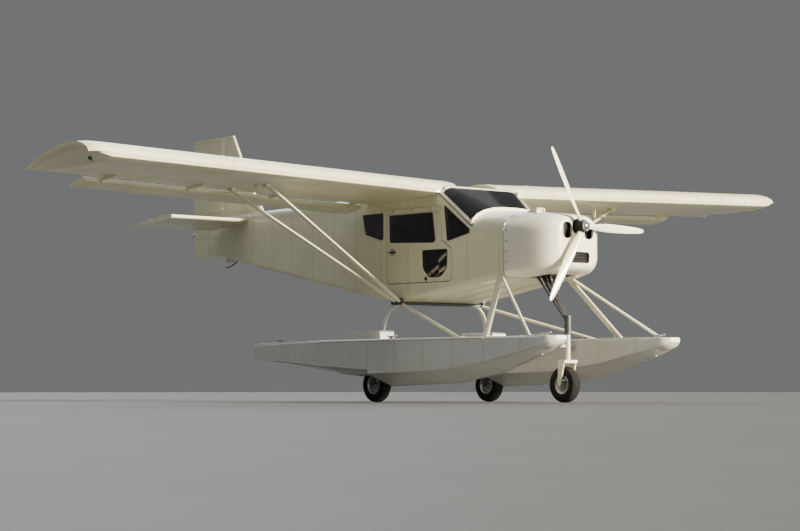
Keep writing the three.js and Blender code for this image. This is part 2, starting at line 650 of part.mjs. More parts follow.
function cowling() {
  const { wall, spinnerHole, cutFront, cutRear } = COWL;
  const outer = hull(COWL_SECTIONS);
  const inner = hull(COWL_SECTIONS, wall, CABIN.firewall - 500, CABIN.firewall - SEAT_GAP - 0.01);
  const mouth = COWL_SECTIONS.at(-1).slice(1);
  const open = hull([[CABIN.firewall - 2, ...mouth], [CABIN.firewall + 20, ...mouth]], wall);
  const shaft = rod(at(0, cutFront, PROP.drop), at(0, cutRear, PROP.drop), spinnerHole, 20);
  const cheeks = SIDES.map(([, sign]) => plate("y",
    rounded(CHEEK_INTAKE.map(([x, drop, radius]) => [sign * x, drop, radius])), cutFront, cutRear));
  const lower = plate("y", rounded(LOWER_INTAKE), cutFront, cutRear);
  const outlet = plate("z", rounded(COWL_OUTLET), height(1100), height(900));
  return cut(outer, [join([inner, open]), shaft, ...cheeks, lower, outlet]);
}
addPiece("cowling", cowling(), WHITE);

const ENGINE = { half: 270, front: -1180, rear: -880, top: 480, bottom: 880, shaft: 42 };

function engineBlock() {
  const { half, front, rear, top, bottom, shaft } = ENGINE;
  const block = box([-half, front, height(bottom)], [half, rear, height(top)]);
  const mounts = SIDES.flatMap(([, sign]) => [top + 40, bottom - 50].map((drop) => rod(
    at(sign * (half - 50), rear - 10, drop),
    at(sign * (half - 50), CABIN.firewall - SEAT_GAP, drop), 18, 8)));
  const flange = rod(
    at(0, front + 10, PROP.drop), at(0, PROP.y + PROP.hubRear + SEAT_GAP, PROP.drop), shaft, 16);
  return join([block, ...mounts, flange]);
}
addPiece("engine", engineBlock(), DARK);

// A muffler across the engine's underside, with its pipe out through the outlet
const MUFFLER = { y: -930, drop: 925, half: 130, radius: 42, pipe: 24, pipeEnd: 1050 };

function exhaust() {
  const { y, drop, half, radius, pipe, pipeEnd } = MUFFLER;
  const can = rod(at(-half, y, drop), at(half, y, drop), radius, 14);
  const tail = rod(at(half - 30, y, drop + 5), at(half - 30, y + 30, pipeEnd), pipe);
  const flange = box([-60, y - 20, height(drop - 31)], [60, y + 20, height(ENGINE.bottom + SEAT_GAP)]);
  return join([can, tail, flange]);
}
addPiece("exhaust", exhaust(), STEEL);

// Propeller: three slim tapered blades on a round hub
// Columns: radius, blade width, blade depth, pitch in degrees
const BLADE_ROWS = [
  [40, 46, 40, 40],
  [130, 62, 26, 36],
  [300, 92, 15, 25],
  [560, 82, 10, 16],
  [760, 56, 7, 12],
  [PROP.radius, 24, 4, 10],
];

function propeller() {
  const { y, drop, hubRadius, hubRear, hubFront, phase } = PROP;
  const centre = at(0, y, drop);
  const hub = rod(at(0, y + hubRear, drop), at(0, y - hubFront, drop), hubRadius, 20);
  const cap = rod(at(0, y - hubFront + 2, drop), at(0, y - hubFront - 16, drop), 40, 20, 26);
  const blades = [0, 1, 2].map((k) => {
    const angle = THREE.MathUtils.degToRad(phase + 120 * k);
    const out = new THREE.Vector3(-Math.sin(angle), 0, Math.cos(angle));
    const side = new THREE.Vector3(Math.cos(angle), 0, Math.sin(angle));
    return loft(BLADE_ROWS.map(([radius, width, depth, pitch]) => {
      const twist = THREE.MathUtils.degToRad(pitch);
      const wide = side.clone().multiplyScalar(Math.cos(twist)).setY(Math.sin(twist));
      const deep = side.clone().multiplyScalar(-Math.sin(twist)).setY(Math.cos(twist));
      return disc(0, 0, 0.5, 10).map(([a, b]) => centre.clone().addScaledVector(out, radius)
        .addScaledVector(wide, a * width).addScaledVector(deep, b * depth));
    }));
  });
  return join([hub, cap, ...blades]);
}
addPiece("propeller", propeller(), WHITE);

// Cabin fittings: instrument panel, two seats and the control stick
const room = hull(CABIN_SECTIONS, CABIN.wall + SEAT_GAP, CABIN.firewall + 30, CABIN.rear);
const inRoom = (bodies) => join(bodies).intersect(room);

// Side-view outlines of (station, drop, corner radius)
const PANEL_SIDE = [[-330, 480, 10], [-280, 450, 10], [-262, 470, 8], [-262, 760, 10], [-330, 740, 10]];
const SEAT_SIDE = [
  [140, 850, 30], [590, 905, 30], [760, 440, 30], [830, 452, 20], [680, 985, 40], [140, 940, 30]];
const SEAT = { centre: 235, half: 205, pedestalFront: 230, pedestalRear: 560, pedestalTop: 930 };

addPiece("instrument_panel", inRoom([plate("x", rounded(PANEL_SIDE), -PAST_SIDE, PAST_SIDE)]), DARK);

function seat(sign) {
  const { centre, half, pedestalFront, pedestalRear, pedestalTop } = SEAT;
  const [low, high] = [sign * centre - half, sign * centre + half];
  const pedestal = box(
    [low + 50, pedestalFront, height(1300)], [high - 50, pedestalRear, height(pedestalTop)]);
  return inRoom([plate("x", rounded(SEAT_SIDE), low, high), pedestal]);
}
for (const [side, sign] of SIDES) addPiece(`seat_${side}`, seat(sign), SEAT_CLOTH);

// One stick between the seats that forks into a grip for each
function controlStick() {
  const fork = at(0, 60, 830);
  const grips = SIDES.flatMap(([, sign]) => [
    rod(fork, at(sign * 150, 30, 740), 9, 8),
    rod(at(sign * 150, 30, 750), at(sign * 160, 20, 640), 16, 10)]);
  return inRoom([rod(at(0, 130, 1200), fork, 14, 10), ...grips]);
}
addPiece("control_stick", controlStick(), DARK);

// Floats: flat deck and sides, V bottom, a step, and an afterbody rising to the stern
// Columns: station, half beam, deck drop, chine drop, keel drop
const FOREBODY_ROWS = [
  [FLOAT.bow, 60, 1574, 1600, 1604],
  [-1790, 96, 1571, 1628, 1640],
  [-1600, 176, FLOAT.deckDrop, 1688, 1736],
  [-1100, 276, FLOAT.deckDrop, 1806, 1900],
  [-500, FLOAT.half, FLOAT.deckDrop, 1878, 1990],
  [FLOAT.step, FLOAT.half, FLOAT.deckDrop, 1902, 2020],
];
const AFTERBODY_ROWS = [
  [FLOAT.step, FLOAT.half, FLOAT.deckDrop, 1862, 1966],
  [1300, 262, FLOAT.deckDrop, 1820, 1888],
  [2100, 186, 1584, 1762, 1796],
  [FLOAT.stern, 120, 1594, 1724, 1740],
];

function halfBeam(y) {
  const rows = y < FLOAT.step ? FOREBODY_ROWS : AFTERBODY_ROWS;
  const next = rows.findIndex((row) => row[0] >= y);
  const [before, after] = [rows[next - 1], rows[next]];
  return before[1] + ((after[1] - before[1]) * (y - before[0])) / (after[0] - before[0]);
}

function floatRing(sign, [y, half, deck, chine, keel]) {
  const shape = [[-half * 0.93, deck], [half * 0.93, deck], [half, deck + 16], [half, chine],
    [half * 0.97, chine + 8], [0, keel], [-half * 0.97, chine + 8], [-half, chine], [-half, deck + 16]];
  return shape.map(([x, drop]) => at(sign * FLOAT.centre + x, y, drop));
}

const DECK_BOX = { front: 560, rear: 1062, half: 90, topDrop: 1488 };
const WELL = { half: 82, front: FLOAT.step + 2, rear: MAIN_AXLE.y + WHEEL.radius + 40, top: 1790 };

function floatBody(sign) {
  const fore = loft(FOREBODY_ROWS.map((row) => floatRing(sign, row)));
  const aft = loft(AFTERBODY_ROWS.map((row) => floatRing(sign, row)));
  const centre = sign * FLOAT.centre;
  const well = box(
    [centre - WELL.half, WELL.front, height(2100)], [centre + WELL.half, WELL.rear, height(WELL.top)]);
  const { front, rear, half, topDrop } = DECK_BOX;
  const foot = FLOAT.deckDrop + 20;
  const deckBox = plate("x", rounded([
    [front, foot, 4], [front + 12, topDrop, 14], [rear - 12, topDrop, 14], [rear, foot, 4]]),
    centre - half, centre + half);
  return cut(join([fore, aft, deckBox]), [well]);
}

// A main leg: a fork in the well behind the step, trailing down to the wheel's axle
const LEG_CHEEK = 70;

function mainLeg(sign) {
  const centre = sign * FLOAT.centre;
  const [pivotY, pivotDrop] = [FLOAT.step + 40, WELL.top + 34];
  const axleDrop = height(WHEEL.radius);
  const reach = WELL.half - SEAT_GAP;
  const head = rod(at(centre - reach, pivotY, pivotDrop), at(centre + reach, pivotY, pivotDrop), 16);
  const outline = convex([...disc(pivotY, pivotDrop, 22), ...disc(MAIN_AXLE.y, axleDrop, 20)]);
  const arms = [-1, 1].map((cheek) =>
    plate("x", outline, centre + cheek * LEG_CHEEK - 5, centre + cheek * LEG_CHEEK + 5));
  const end = LEG_CHEEK + 6;
  const axle = rod(
    at(centre - end, MAIN_AXLE.y, axleDrop), at(centre + end, MAIN_AXLE.y, axleDrop), WHEEL.axle);
  return join([head, ...arms, axle]);
}

// A closed ring turned about a wheel's axle from half of its section: pairs of (radius, width)
function turned(half, x, y) {
  const section = [...half, ...half.map(([r, w]) => [r, -w]).reverse(), half[0]];
  const shape = new THREE.LatheGeometry(section.map(([r, w]) => new THREE.Vector2(r, w)), 24);
  return solid(shape.rotateZ(Math.PI / 2).translate(x, y, WHEEL.radius));
}

function tyre(x, y) {
  const { radius, width, rim } = WHEEL;
  return turned([[rim, -width * 0.36], [rim + 24, -width * 0.46], [radius - 30, -width * 0.5],
    [radius - 8, -width * 0.34], [radius, -width * 0.12]], x, y);
}

function wheelRim(x, y) {
  const { width, rim, hub, bore } = WHEEL;
  const [edge, side] = [rim - SEAT_GAP, width * 0.36];
  return turned([
    [bore, -hub], [30, -hub], [36, -14], [edge - 14, -12], [edge - 12, -side], [edge, -side]], x, y);
}

for (const [side, sign] of SIDES) {
  addPiece(`float_${side}`, floatBody(sign), FLOAT_GREY);
  addPiece(`main_leg_${side}`, mainLeg(sign), STEEL);
  addPiece(`main_tyre_${side}`, tyre(sign * MAIN_AXLE.x, MAIN_AXLE.y), RUBBER);
  addPiece(`main_rim_${side}`, wheelRim(sign * MAIN_AXLE.x, MAIN_AXLE.y), WHITE);
}

// Nose gear: a fixed leg under the firewall, a steered fork and its wheel
const STEM = { radius: 21.5, bore: 22.4, sleeve: 34 };
const CROWN = { bottom: 372, top: 400, half: 84 };
const legHead = height(NOSE.headDrop);
const onSteerAxis = (x, z) => new THREE.Vector3(x, NOSE.steerY, z);

function noseLeg() {
  const mount = box([-90, CABIN.firewall - 50, height(990)], [90, CABIN.firewall - SEAT_GAP, height(890)]);
  const braces = SIDES.map(([, sign]) =>
    rod(at(sign * 70, CABIN.firewall - 28, 975), onSteerAxis(sign * 16, legHead + 60), 14, 10));
  const post = rod(at(0, CABIN.firewall - 36, 975), onSteerAxis(0, legHead + 60), 20);
  const sleeve = rod(onSteerAxis(0, legHead - 70), onSteerAxis(0, legHead + 110), STEM.sleeve, 16);
  const bore = rod(onSteerAxis(0, legHead - 90), onSteerAxis(0, legHead + 90), STEM.bore, 16);
  return cut(join([mount, ...braces, post, sleeve]), [bore]);
}

function noseFork() {
  const stem = rod(onSteerAxis(0, CROWN.bottom + 1), onSteerAxis(0, legHead + 89), STEM.radius, 16);
  const crown = box(
    [-CROWN.half, NOSE.steerY - 40, CROWN.bottom], [CROWN.half, NOSE.steerY + 52, CROWN.top]);
  const root = height(CROWN.top - 4);
  const outline = convex([
    ...disc(NOSE.axleY, height(WHEEL.radius), 20), [NOSE.steerY - 34, root], [NOSE.steerY + 46, root]]);
  const arms = [-1, 1].map((cheek) => plate("x", outline, cheek * 76 - 6, cheek * 76 + 6));
  const axle = rod(
    new THREE.Vector3(-CROWN.half, NOSE.axleY, WHEEL.radius),
    new THREE.Vector3(CROWN.half, NOSE.axleY, WHEEL.radius), WHEEL.axle);
  return join([stem, crown, ...arms, axle]);
}

addPiece("nose_leg", noseLeg(), STEEL);
addPiece("nose_fork", noseFork(), WHITE);
addPiece("nose_tyre", tyre(0, NOSE.axleY), RUBBER);
addPiece("nose_rim", wheelRim(0, NOSE.axleY), WHITE);

// Float gear: spring legs, braces and front struts between the belly and the decks
const cabinSkin = hull(CABIN_SECTIONS, -0.5, CABIN.firewall, CABIN.rear);
// Columns: x, station, drop, along the middle of the curved leg; it bows outwards
const LEG_ROWS = [
  [500, 668, 1210],
  [560, 672, 1240],
  [616, 680, 1286],
  [660, 690, 1360],
  [684, 698, 1440],
  [692, 702, 1500],
];

function springLeg(sign) {
  const rings = LEG_ROWS.map(([x, y, drop], i) => {
    const before = LEG_ROWS[Math.max(i - 1, 0)];
    const after = LEG_ROWS[Math.min(i + 1, LEG_ROWS.length - 1)];
    const along = new THREE.Vector3(
      sign * (after[0] - before[0]), after[1] - before[1], before[2] - after[2]).normalize();
    const wide = new THREE.Vector3(0, 1, 0).addScaledVector(along, -along.y).normalize();
    const deep = along.clone().cross(wide);
    return disc(0, 0, 1).map(([a, b]) =>
      at(sign * x, y, drop).addScaledVector(wide, 26 * a).addScaledVector(deep, 13 * b));
  });
  return cut(loft(rings), [above(CROSSBAR.top + CROSSBAR.depth), below(DECK_BOX.topDrop)]);
}

// Everything near the float gear that lies under a drop, or over it, with the touching gap
const between = (bottom, top) => box([-1200, -2000, height(bottom)], [1200, 2000, height(top)]);
const below = (drop) => between(drop + 400, drop - SEAT_GAP);
const above = (drop) => between(drop + SEAT_GAP, drop - 400);

// Bars from the belly to the decks, each with a foot pad
const DECK_FOOT = FLOAT.deckDrop + 5;
// Columns: top point, foot point, chord, depth, pad station; points are x, station, drop
const FLOAT_BARS = {
  diagonal_brace: [
    [[515, 640, 1205], [920, -660, DECK_FOOT], 30, 30, -656],
  ],
  front_float_strut: [
    [[452, -730, 985], [900, -1000, DECK_FOOT], 74, 34, -1000],
    [[470, -775, 1000], [870, -1560, DECK_FOOT], 28, 28, -1546],
  ],
};

for (const [side, sign] of SIDES) {
  addPiece(`spring_leg_${side}`, springLeg(sign), STEEL);
  for (const [name, rows] of Object.entries(FLOAT_BARS)) {
    const bars = rows.flatMap(([[topX, topY, topDrop], [footX, footY, footDrop], chord, depth, padY]) => [
      faired(at(sign * topX, topY, topDrop), at(sign * footX, footY, footDrop), chord, depth),
      box([sign * (footX - 34), padY - 44, height(FLOAT.deckDrop + 6)],
        [sign * (footX + 34), padY + 44, height(FLOAT.deckDrop - 7)])]);
    addPiece(`${name}_${side}`, cut(join(bars), [below(FLOAT.deckDrop), cabinSkin, crossbarSkin]), CREAM);
  }
}

// Spreader bars between the floats' inner sides
// Columns: name, station
const SPREADERS = [["front", -760], ["rear", 690]];
const SPREADER = { chord: 70, depth: 40, drop: 1640 };

for (const [name, y] of SPREADERS) {
  const { chord, depth, drop } = SPREADER;
  const widest = Math.max(halfBeam(y - chord / 2), halfBeam(y + chord / 2));
  const reach = FLOAT.centre - widest - SEAT_GAP;
  addPiece(`${name}_spreader`, faired(at(-reach, y, drop), at(reach, y, drop), chord, depth), CREAM);
}

root.position.y = -(FLOAT.bow + TAIL.end) / 2;
export default root;
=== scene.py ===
"""Dresses a two-seat high-wing floatplane, parked on the wheels of its amphibious floats."""

import json
import math
from contextlib import contextmanager

import bmesh
import bpy
from mathutils import Matrix, Vector
from mathutils.bvhtree import BVHTree


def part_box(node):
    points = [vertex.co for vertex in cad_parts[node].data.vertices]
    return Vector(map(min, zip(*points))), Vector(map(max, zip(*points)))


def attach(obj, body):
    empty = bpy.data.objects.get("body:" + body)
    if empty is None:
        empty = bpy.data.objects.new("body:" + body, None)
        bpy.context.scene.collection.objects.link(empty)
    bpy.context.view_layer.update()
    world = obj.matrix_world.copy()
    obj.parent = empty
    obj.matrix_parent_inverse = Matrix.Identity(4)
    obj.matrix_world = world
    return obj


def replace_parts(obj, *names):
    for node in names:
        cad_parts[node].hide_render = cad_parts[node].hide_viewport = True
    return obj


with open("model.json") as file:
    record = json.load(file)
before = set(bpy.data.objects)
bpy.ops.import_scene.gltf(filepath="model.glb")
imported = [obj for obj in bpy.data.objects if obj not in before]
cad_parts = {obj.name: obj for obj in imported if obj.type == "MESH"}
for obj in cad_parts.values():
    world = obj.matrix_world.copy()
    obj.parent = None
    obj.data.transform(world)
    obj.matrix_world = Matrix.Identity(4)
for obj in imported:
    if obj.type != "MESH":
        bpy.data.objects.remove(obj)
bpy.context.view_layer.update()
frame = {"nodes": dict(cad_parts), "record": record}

nodes = frame["nodes"]
body_of_node = {name: body for body, names in frame["record"]["behaviour"]["bodies"].items()
                for name in names}

# The nose points along -y and the left wing along +x
SIDES = (("left", 1), ("right", -1))
LEFT, RIGHT = (1, 0, 0), (-1, 0, 0)
AFT, AHEAD = (0, 1, 0), (0, -1, 0)
UP, DOWN = (0, 0, 1), (0, 0, -1)
X, Y, Z = range(3)


def linear(hex_code):
    """An sRGB colour such as "c8c4b0" as the linear colour that a shader takes."""
    channels = [int(hex_code[i:i + 2], 16) / 255 for i in (0, 2, 4)]
    return [c / 12.92 if c <= 0.04045 else ((c + 0.055) / 1.055) ** 2.4 for c in channels] + [1]


def add(tree, kind, inputs=None, **settings):
    """Adds a node with its settings. An input is a value, or the output that it is linked to."""
    node = tree.nodes.new(kind)
    for name, value in settings.items():
        setattr(node, name, value)
    for key, value in (inputs or {}).items():
        if isinstance(value, bpy.types.NodeSocket):
            tree.links.new(value, node.inputs[key])
        else:
            node.inputs[key].default_value = value
    return node


# camera, floor and light

EYE = (-15.8, -18.55, 0.12)
AIM = (-0.31, -0.6, 1.36)
LENS = 107
CLIP_END = 200
# Columns: name, place, point that it shines on, spread in degrees, strength, colour
LAMPS = (
    ("key_lamp", (5.0, -14.0, 5.2), (0, -0.8, 1.2), 9, 17.0, "fff1d6"),
    ("fill_lamp", (-14.0, -6.0, 7.0), (0, 0, 1.0), 60, 0.2, "eaece8"),
    ("overhead_lamp", (0, -2.0, 14.0), (0, 0, 0), 120, 0.8, "f2f2ee"),
    ("rim_lamp", (5.0, 12.0, 8.0), (0, 1.0, 1.5), 40, 1.3, "e8eefc"),
)
BACKDROP, BACKDROP_STRENGTH = "dadcdc", 0.24
FLOOR_SIZE = 160
FLOOR_DROP = 0.001  # keeps the floor out of the plane that the tyres stand in


def aim_at(holder, place, target):
    """Puts a camera or lamp in the scene, looking at a point."""
    bpy.context.scene.collection.objects.link(holder)
    holder.location = place
    holder.rotation_euler = (Vector(target) - Vector(place)).to_track_quat("-Z", "Y").to_euler()


camera = bpy.data.objects.new("camera", bpy.data.cameras.new("camera"))
aim_at(camera, EYE, AIM)
camera.data.lens = LENS
camera.data.clip_end = CLIP_END
bpy.context.scene.camera = camera

# Distant studio lamps, so broad that their shadows have soft edges
for name, place, target, spread, strength, colour in LAMPS:
    lamp = bpy.data.lights.new(name, "SUN")
    lamp.angle = math.radians(spread)
    lamp.energy = strength
    lamp.color = linear(colour)[:3]
    aim_at(bpy.data.objects.new(name, lamp), place, target)

world = bpy.data.worlds.new("studio")
bpy.context.scene.world = world
world.use_nodes = True
backdrop = world.node_tree.nodes["Background"]
backdrop.inputs["Color"].default_value = linear(BACKDROP)
backdrop.inputs["Strength"].default_value = BACKDROP_STRENGTH

bpy.ops.object.select_all(action="DESELECT")
bpy.ops.mesh.primitive_plane_add(size=FLOOR_SIZE, location=(0, 0, -FLOOR_DROP))
floor = bpy.context.object
floor.name = "floor"


# materials

# Sizes of clouds and grains are in millimetres. Grains that are really finer than about 1 mm are
# drawn at 1 to 4 mm, because finer ones don't show in the render.

def new_material(name):
    """An empty node material, its tree, its shader and its object coordinates."""
    material = bpy.data.materials.new(name)
    material.use_nodes = True
    tree = material.node_tree
    place = add(tree, "ShaderNodeTexCoord")
    return material, tree, tree.nodes["Principled BSDF"], place.outputs["Object"]


def set_shader(shader, **values):
    """Sets the shader's own sockets: Base_Color stands for Base Color, and so on."""
    for name, value in values.items():
        shader.inputs[name.replace("_", " ")].default_value = value


def per_metre(size):
    """A pattern's scale, which counts its cells in a metre, from their size in millimetres."""
    return 1000 / size


def mottled(tree, shader, place, light, dark, size, low=0.4, high=0.7):
    """Links a colour that drifts between two tones in clouds of a size, and gives the colour."""
    cloud = add(tree, "ShaderNodeTexNoise", {
        "Vector": place, "Scale": per_metre(size), "Detail": 6, "Roughness": 0.6})
    share = add(tree, "ShaderNodeMapRange", {
        "Value": cloud.outputs["Fac"], "From Min": low, "From Max": high})
    tone = add(tree, "ShaderNodeMix", {
        "Factor": share.outputs["Result"], "A": linear(light), "B": linear(dark)}, data_type="RGBA")
    tree.links.new(tone.outputs["Result"], shader.inputs["Base Color"])
    return tone


def hazed(tree, shader, place, size, detail, high, polished, dull):
    """Links a roughness that rises in patches, where a glassy surface is scuffed or touched."""
    scuffs = add(tree, "ShaderNodeTexNoise", {
        "Vector": place, "Scale": per_metre(size), "Detail": detail})
    haze = add(tree, "ShaderNodeMapRange", {
        "Value": scuffs.outputs["Fac"], "From Min": 0.45, "From Max": high,
        "To Min": polished, "To Max": dull})
    tree.links.new(haze.outputs["Result"], shader.inputs["Roughness"])


def clouded(name, light, dark, size, low=0.4, high=0.7, grain=None, **values):
    """A finish in two drifting tones. Its grain is the size, detail, strength and depth of bumps."""
    material, tree, shader, place = new_material(name)
    mottled(tree, shader, place, light, dark, size, low, high)
    set_shader(shader, **values)
    if grain:
        grain_size, detail, strength, depth = grain
        specks = add(tree, "ShaderNodeTexNoise", {
            "Vector": place, "Scale": per_metre(grain_size), "Detail": detail})
        bump = add(tree, "ShaderNodeBump", {
            "Strength": strength, "Distance": depth / 1000, "Height": specks.outputs["Fac"]})
        tree.links.new(bump.outputs["Normal"], shader.inputs["Normal"])
    return material


# Riveted sheet: rivets stand in rows across the skin. Columns of a row family: axis that the rows
# step along, first row and step in metres, axis that the rivets run along.
RIVET_SPACING = 0.042
RIVET_HEAD = 0.0045  # radius, 1.4 times a real head's, so that the rows show in the render
LAP_HALF, LAP_EDGE, LAP_HEIGHT = 0.011, 0.0135, 0.3
PAINT_CLOUD = 700
FUSELAGE_ROWS = (("Y", -2.235, 0.42, "Z"),)
WING_ROWS = (("X", 0.29, 0.366, "Y"), ("Y", -1.075, 0.53, "X"))
TAIL_ROWS = (("X", 0.02, 0.29, "Y"), ("Y", 2.36, 0.31, "X"))
FIN_ROWS = (("Z", 2.09, 0.27, "Y"), ("Y", 2.36, 0.33, "Z"))
FLOAT_ROWS = (("Y", -2.995, 0.405, "Z"),)
PLAIN = ()


def rivet_rows(tree, axes, across, first, step, along):
    """Domes in straight rows on a lap that stands a little proud, as one height from 0 to 1."""
    from_first = add(tree, "ShaderNodeMath", {0: axes.outputs[across], 1: first}, operation="SUBTRACT")
    off_row = add(tree, "ShaderNodeMath", {0: from_first.outputs[0], 1: step / 2}, operation="PINGPONG")
    off_rivet = add(tree, "ShaderNodeMath", {
        0: axes.outputs[along], 1: RIVET_SPACING / 2}, operation="PINGPONG")
    offsets = add(tree, "ShaderNodeCombineXYZ", {"X": off_row.outputs[0], "Y": off_rivet.outputs[0]})
    distance = add(tree, "ShaderNodeVectorMath", {0: offsets.outputs[0]}, operation="LENGTH")
    dome = add(tree, "ShaderNodeMapRange", {
        "Value": distance.outputs["Value"], "From Max": RIVET_HEAD, "To Min": 1, "To Max": 0})
    lap = add(tree, "ShaderNodeMapRange", {
        "Value": off_row.outputs[0], "From Min": LAP_HALF, "From Max": LAP_EDGE,
        "To Min": LAP_HEIGHT, "To Max": 0})
    return add(tree, "ShaderNodeMath", {
        0: dome.outputs["Result"], 1: lap.outputs["Result"]}, operation="MAXIMUM").outputs[0]


def painted_skin(name, light, dark, roughness, rows):
    """Two-part paint sprayed over riveted sheet: half-gloss, faint grime, rivet heads and laps."""
    material, tree, shader, place = new_material(name)
    tone = mottled(tree, shader, place, light, dark, PAINT_CLOUD)
    set_shader(shader, Roughness=roughness, Coat_Weight=0.3, Coat_Roughness=0.14)
    if rows:
        axes = add(tree, "ShaderNodeSeparateXYZ", {0: place})
        heights = [rivet_rows(tree, axes, *row) for row in rows]
        height = heights[0]
        for other in heights[1:]:
            height = add(tree, "ShaderNodeMath", {0: height, 1: other}, operation="MAXIMUM").outputs[0]
        bump = add(tree, "ShaderNodeBump", {"Strength": 1, "Distance": 0.003, "Height": height})
        tree.links.new(bump.outputs["Normal"], shader.inputs["Normal"])
        # the rivet heads and laps are darkened in step with their height, so that each row reads as a thin
        # darker line from afar
        height_darkening = add(tree, "ShaderNodeMapRange", {"Value": height, "To Max": 0.62})
        rows_darkened = add(tree, "ShaderNodeMix", {
            "Factor": height_darkening.outputs["Result"], "A": tone.outputs["Result"], "B": linear("a39f8c")},
            data_type="RGBA")
        tree.links.new(rows_darkened.outputs["Result"], shader.inputs["Base Color"])
    return material


CREAM, CREAM_DIM = "e9e6c9", "dcd8b9"
fuselage_paint = painted_skin("cream_paint_on_fuselage", CREAM, CREAM_DIM, 0.36, FUSELAGE_ROWS)
wing_paint = painted_skin("cream_paint_on_wing", CREAM, CREAM_DIM, 0.36, WING_ROWS)
tail_paint = painted_skin("cream_paint_on_tailplane", CREAM, CREAM_DIM, 0.36, TAIL_ROWS)
fin_paint = painted_skin("cream_paint_on_fin", CREAM, CREAM_DIM, 0.36, FIN_ROWS)
plain_paint = painted_skin("cream_paint_on_tube", CREAM, CREAM_DIM, 0.34, PLAIN)
float_paint = painted_skin("light_grey_float_paint", "dcddd9", "cbccc7", 0.4, FLOAT_ROWS)
grey_paint = painted_skin("light_grey_paint_on_fittings", "d2d3cf", "bfc0bb", 0.42, PLAIN)
gelcoat = painted_skin("white_gelcoat_laminate", "f2efde", "e8e3ce", 0.27, PLAIN)

# Tinted acrylic sheet: clear, glossy and slightly violet, with hairline scuffs in its roughness
acrylic, tree, shader, place = new_material("tinted_acrylic_sheet")
hazed(tree, shader, place, size=26, detail=8, high=0.8, polished=0.02, dull=0.045)
set_shader(shader, Base_Color=linear("6c6476"), IOR=1.49, Transmission_Weight=1)

# Spring steel under dark paint: a rolled grain, rubbed brighter in patches
steel = clouded("dark_painted_spring_steel", "4b4d50", "6a6c6e", 110, 0.55, 0.8,
                grain=(4.2, 2, 0.12, 0.4), Metallic=0.55, Roughness=0.42)

# Machined aluminium: bare and bright, a little uneven where it was handled
bare_metal = clouded("machined_aluminium", "b9bbbd", "9fa1a3", 70, Metallic=1, Roughness=0.32)

# Exhaust steel: heat turns it brown and straw in clouds
hot_steel = clouded(
    "heat_tinted_stainless_steel", "8a7d70", "4f4640", 90, 0.35, 0.7, Metallic=0.9, Roughness=0.45)

# Black powder coat: fine, even leather-like grain
black = clouded("black_powder_coat", "1b1c1e", "262729", 33, 0.4, 0.6,
                grain=(1.4, 2, 0.25, 0.5), Roughness=0.58)

# Cast engine casings: dark, sandy and slightly oily
casting = clouded("dark_cast_aluminium", "232426", "35363a", 80,
                  grain=(2.4, 3, 0.4, 0.6), Metallic=0.4, Roughness=0.55)

# Tyre rubber: matt black, greyed by dust
rubber = clouded("black_tyre_rubber", "171718", "2a2927", 140, 0.45, 0.75,
                 grain=(2, 2, 0.3, 0.5), Roughness=0.86, Specular_IOR_Level=0.35)

# Foam-backed cabin lining: dark grey needle felt, soft and without shine
lining = clouded("dark_grey_needle_felt", "3b3b3f", "2f2f33", 17, 0.4, 0.6,
                 Roughness=0.95, Sheen_Weight=0.3)

# Lamp lenses: moulded acrylic, glossy and coloured through
LENS_GLOSS = {"Roughness": 0.08, "IOR": 1.49, "Transmission_Weight": 0.35}
red_lens = clouded("red_acrylic_lens", "b3161b", "b3161b", 50, **LENS_GLOSS)
green_lens = clouded("green_acrylic_lens", "12803c", "12803c", 50, **LENS_GLOSS)
clear_lens = clouded("clear_acrylic_lens", "e6e8ea", "e6e8ea", 50, **LENS_GLOSS)

# Printed dial marks: matt off-white ink, slightly uneven
pale_marks = clouded("matt_white_dial_ink", "f0efe8", "d9d8d0", 2.5, Roughness=0.7)

# Grit tape on the decks: dark grey, coarse and matt
grit = clouded("dark_grey_grit_tape", "45474a", "56585a", 33,
               grain=(1.1, 2, 0.6, 0.8), Roughness=0.95)

# Bow bumper: white rubber moulding, scuffed grey along the front
bumper = clouded("white_moulded_rubber", "f0efe9", "cfcdc4", 55, 0.45, 0.8, Roughness=0.6)

# Studio floor: smooth concrete, even and half matt
floor.data.materials.append(clouded("smooth_concrete", "505254", "55585a", 1400, Roughness=0.72))

# Screen glass: near black, very smooth, with fingermarks in its roughness
dark_glass, tree, shader, place = new_material("dark_screen_glass")
mottled(tree, shader, place, "0d1013", "14181c", 50)
hazed(tree, shader, place, size=17, detail=5, high=0.75, polished=0.05, dull=0.16)
set_shader(shader, IOR=1.5)

# Woven seat cloth: charcoal warp and weft. The threads are drawn 2 mm wide, twice the real width,
# so that the weave shows. A wave texture has 20 radians to a unit of its scale.
WEAVE_PITCH = 0.0039
WEAVE_SCALE = math.tau / (20 * WEAVE_PITCH)
cloth, tree, shader, place = new_material("charcoal_woven_seat_cloth")
waves = [add(tree, "ShaderNodeTexWave", {"Vector": place, "Scale": WEAVE_SCALE, "Distortion": 0.6},
             bands_direction=along).outputs["Fac"] for along in ("X", "Y", "Z")]
warp = add(tree, "ShaderNodeMath", {0: waves[0], 1: waves[1]}, operation="MULTIPLY")
weave = add(tree, "ShaderNodeMath", {0: warp.outputs[0], 1: waves[2]}, operation="ADD")
relief = add(tree, "ShaderNodeBump", {"Strength": 0.35, "Distance": 0.0012, "Height": weave.outputs[0]})
tree.links.new(relief.outputs["Normal"], shader.inputs["Normal"])
mottled(tree, shader, place, "3c3e44", "2c2e33", 200)
set_shader(shader, Roughness=0.93, Sheen_Weight=0.4)


# ways of making a piece

finished = []  # every finished piece with its body, in the order of making
first_made = {}  # the first part of each turned profile, and the frame that it stands in
BAR_ANGLE = 60  # degrees: the few sides of a thin bar meet at less, so it shades as round


def only(piece):
    """Makes a piece the one that is selected and active."""
    bpy.ops.object.select_all(action="DESELECT")
    bpy.context.view_layer.objects.active = piece
    piece.select_set(True)


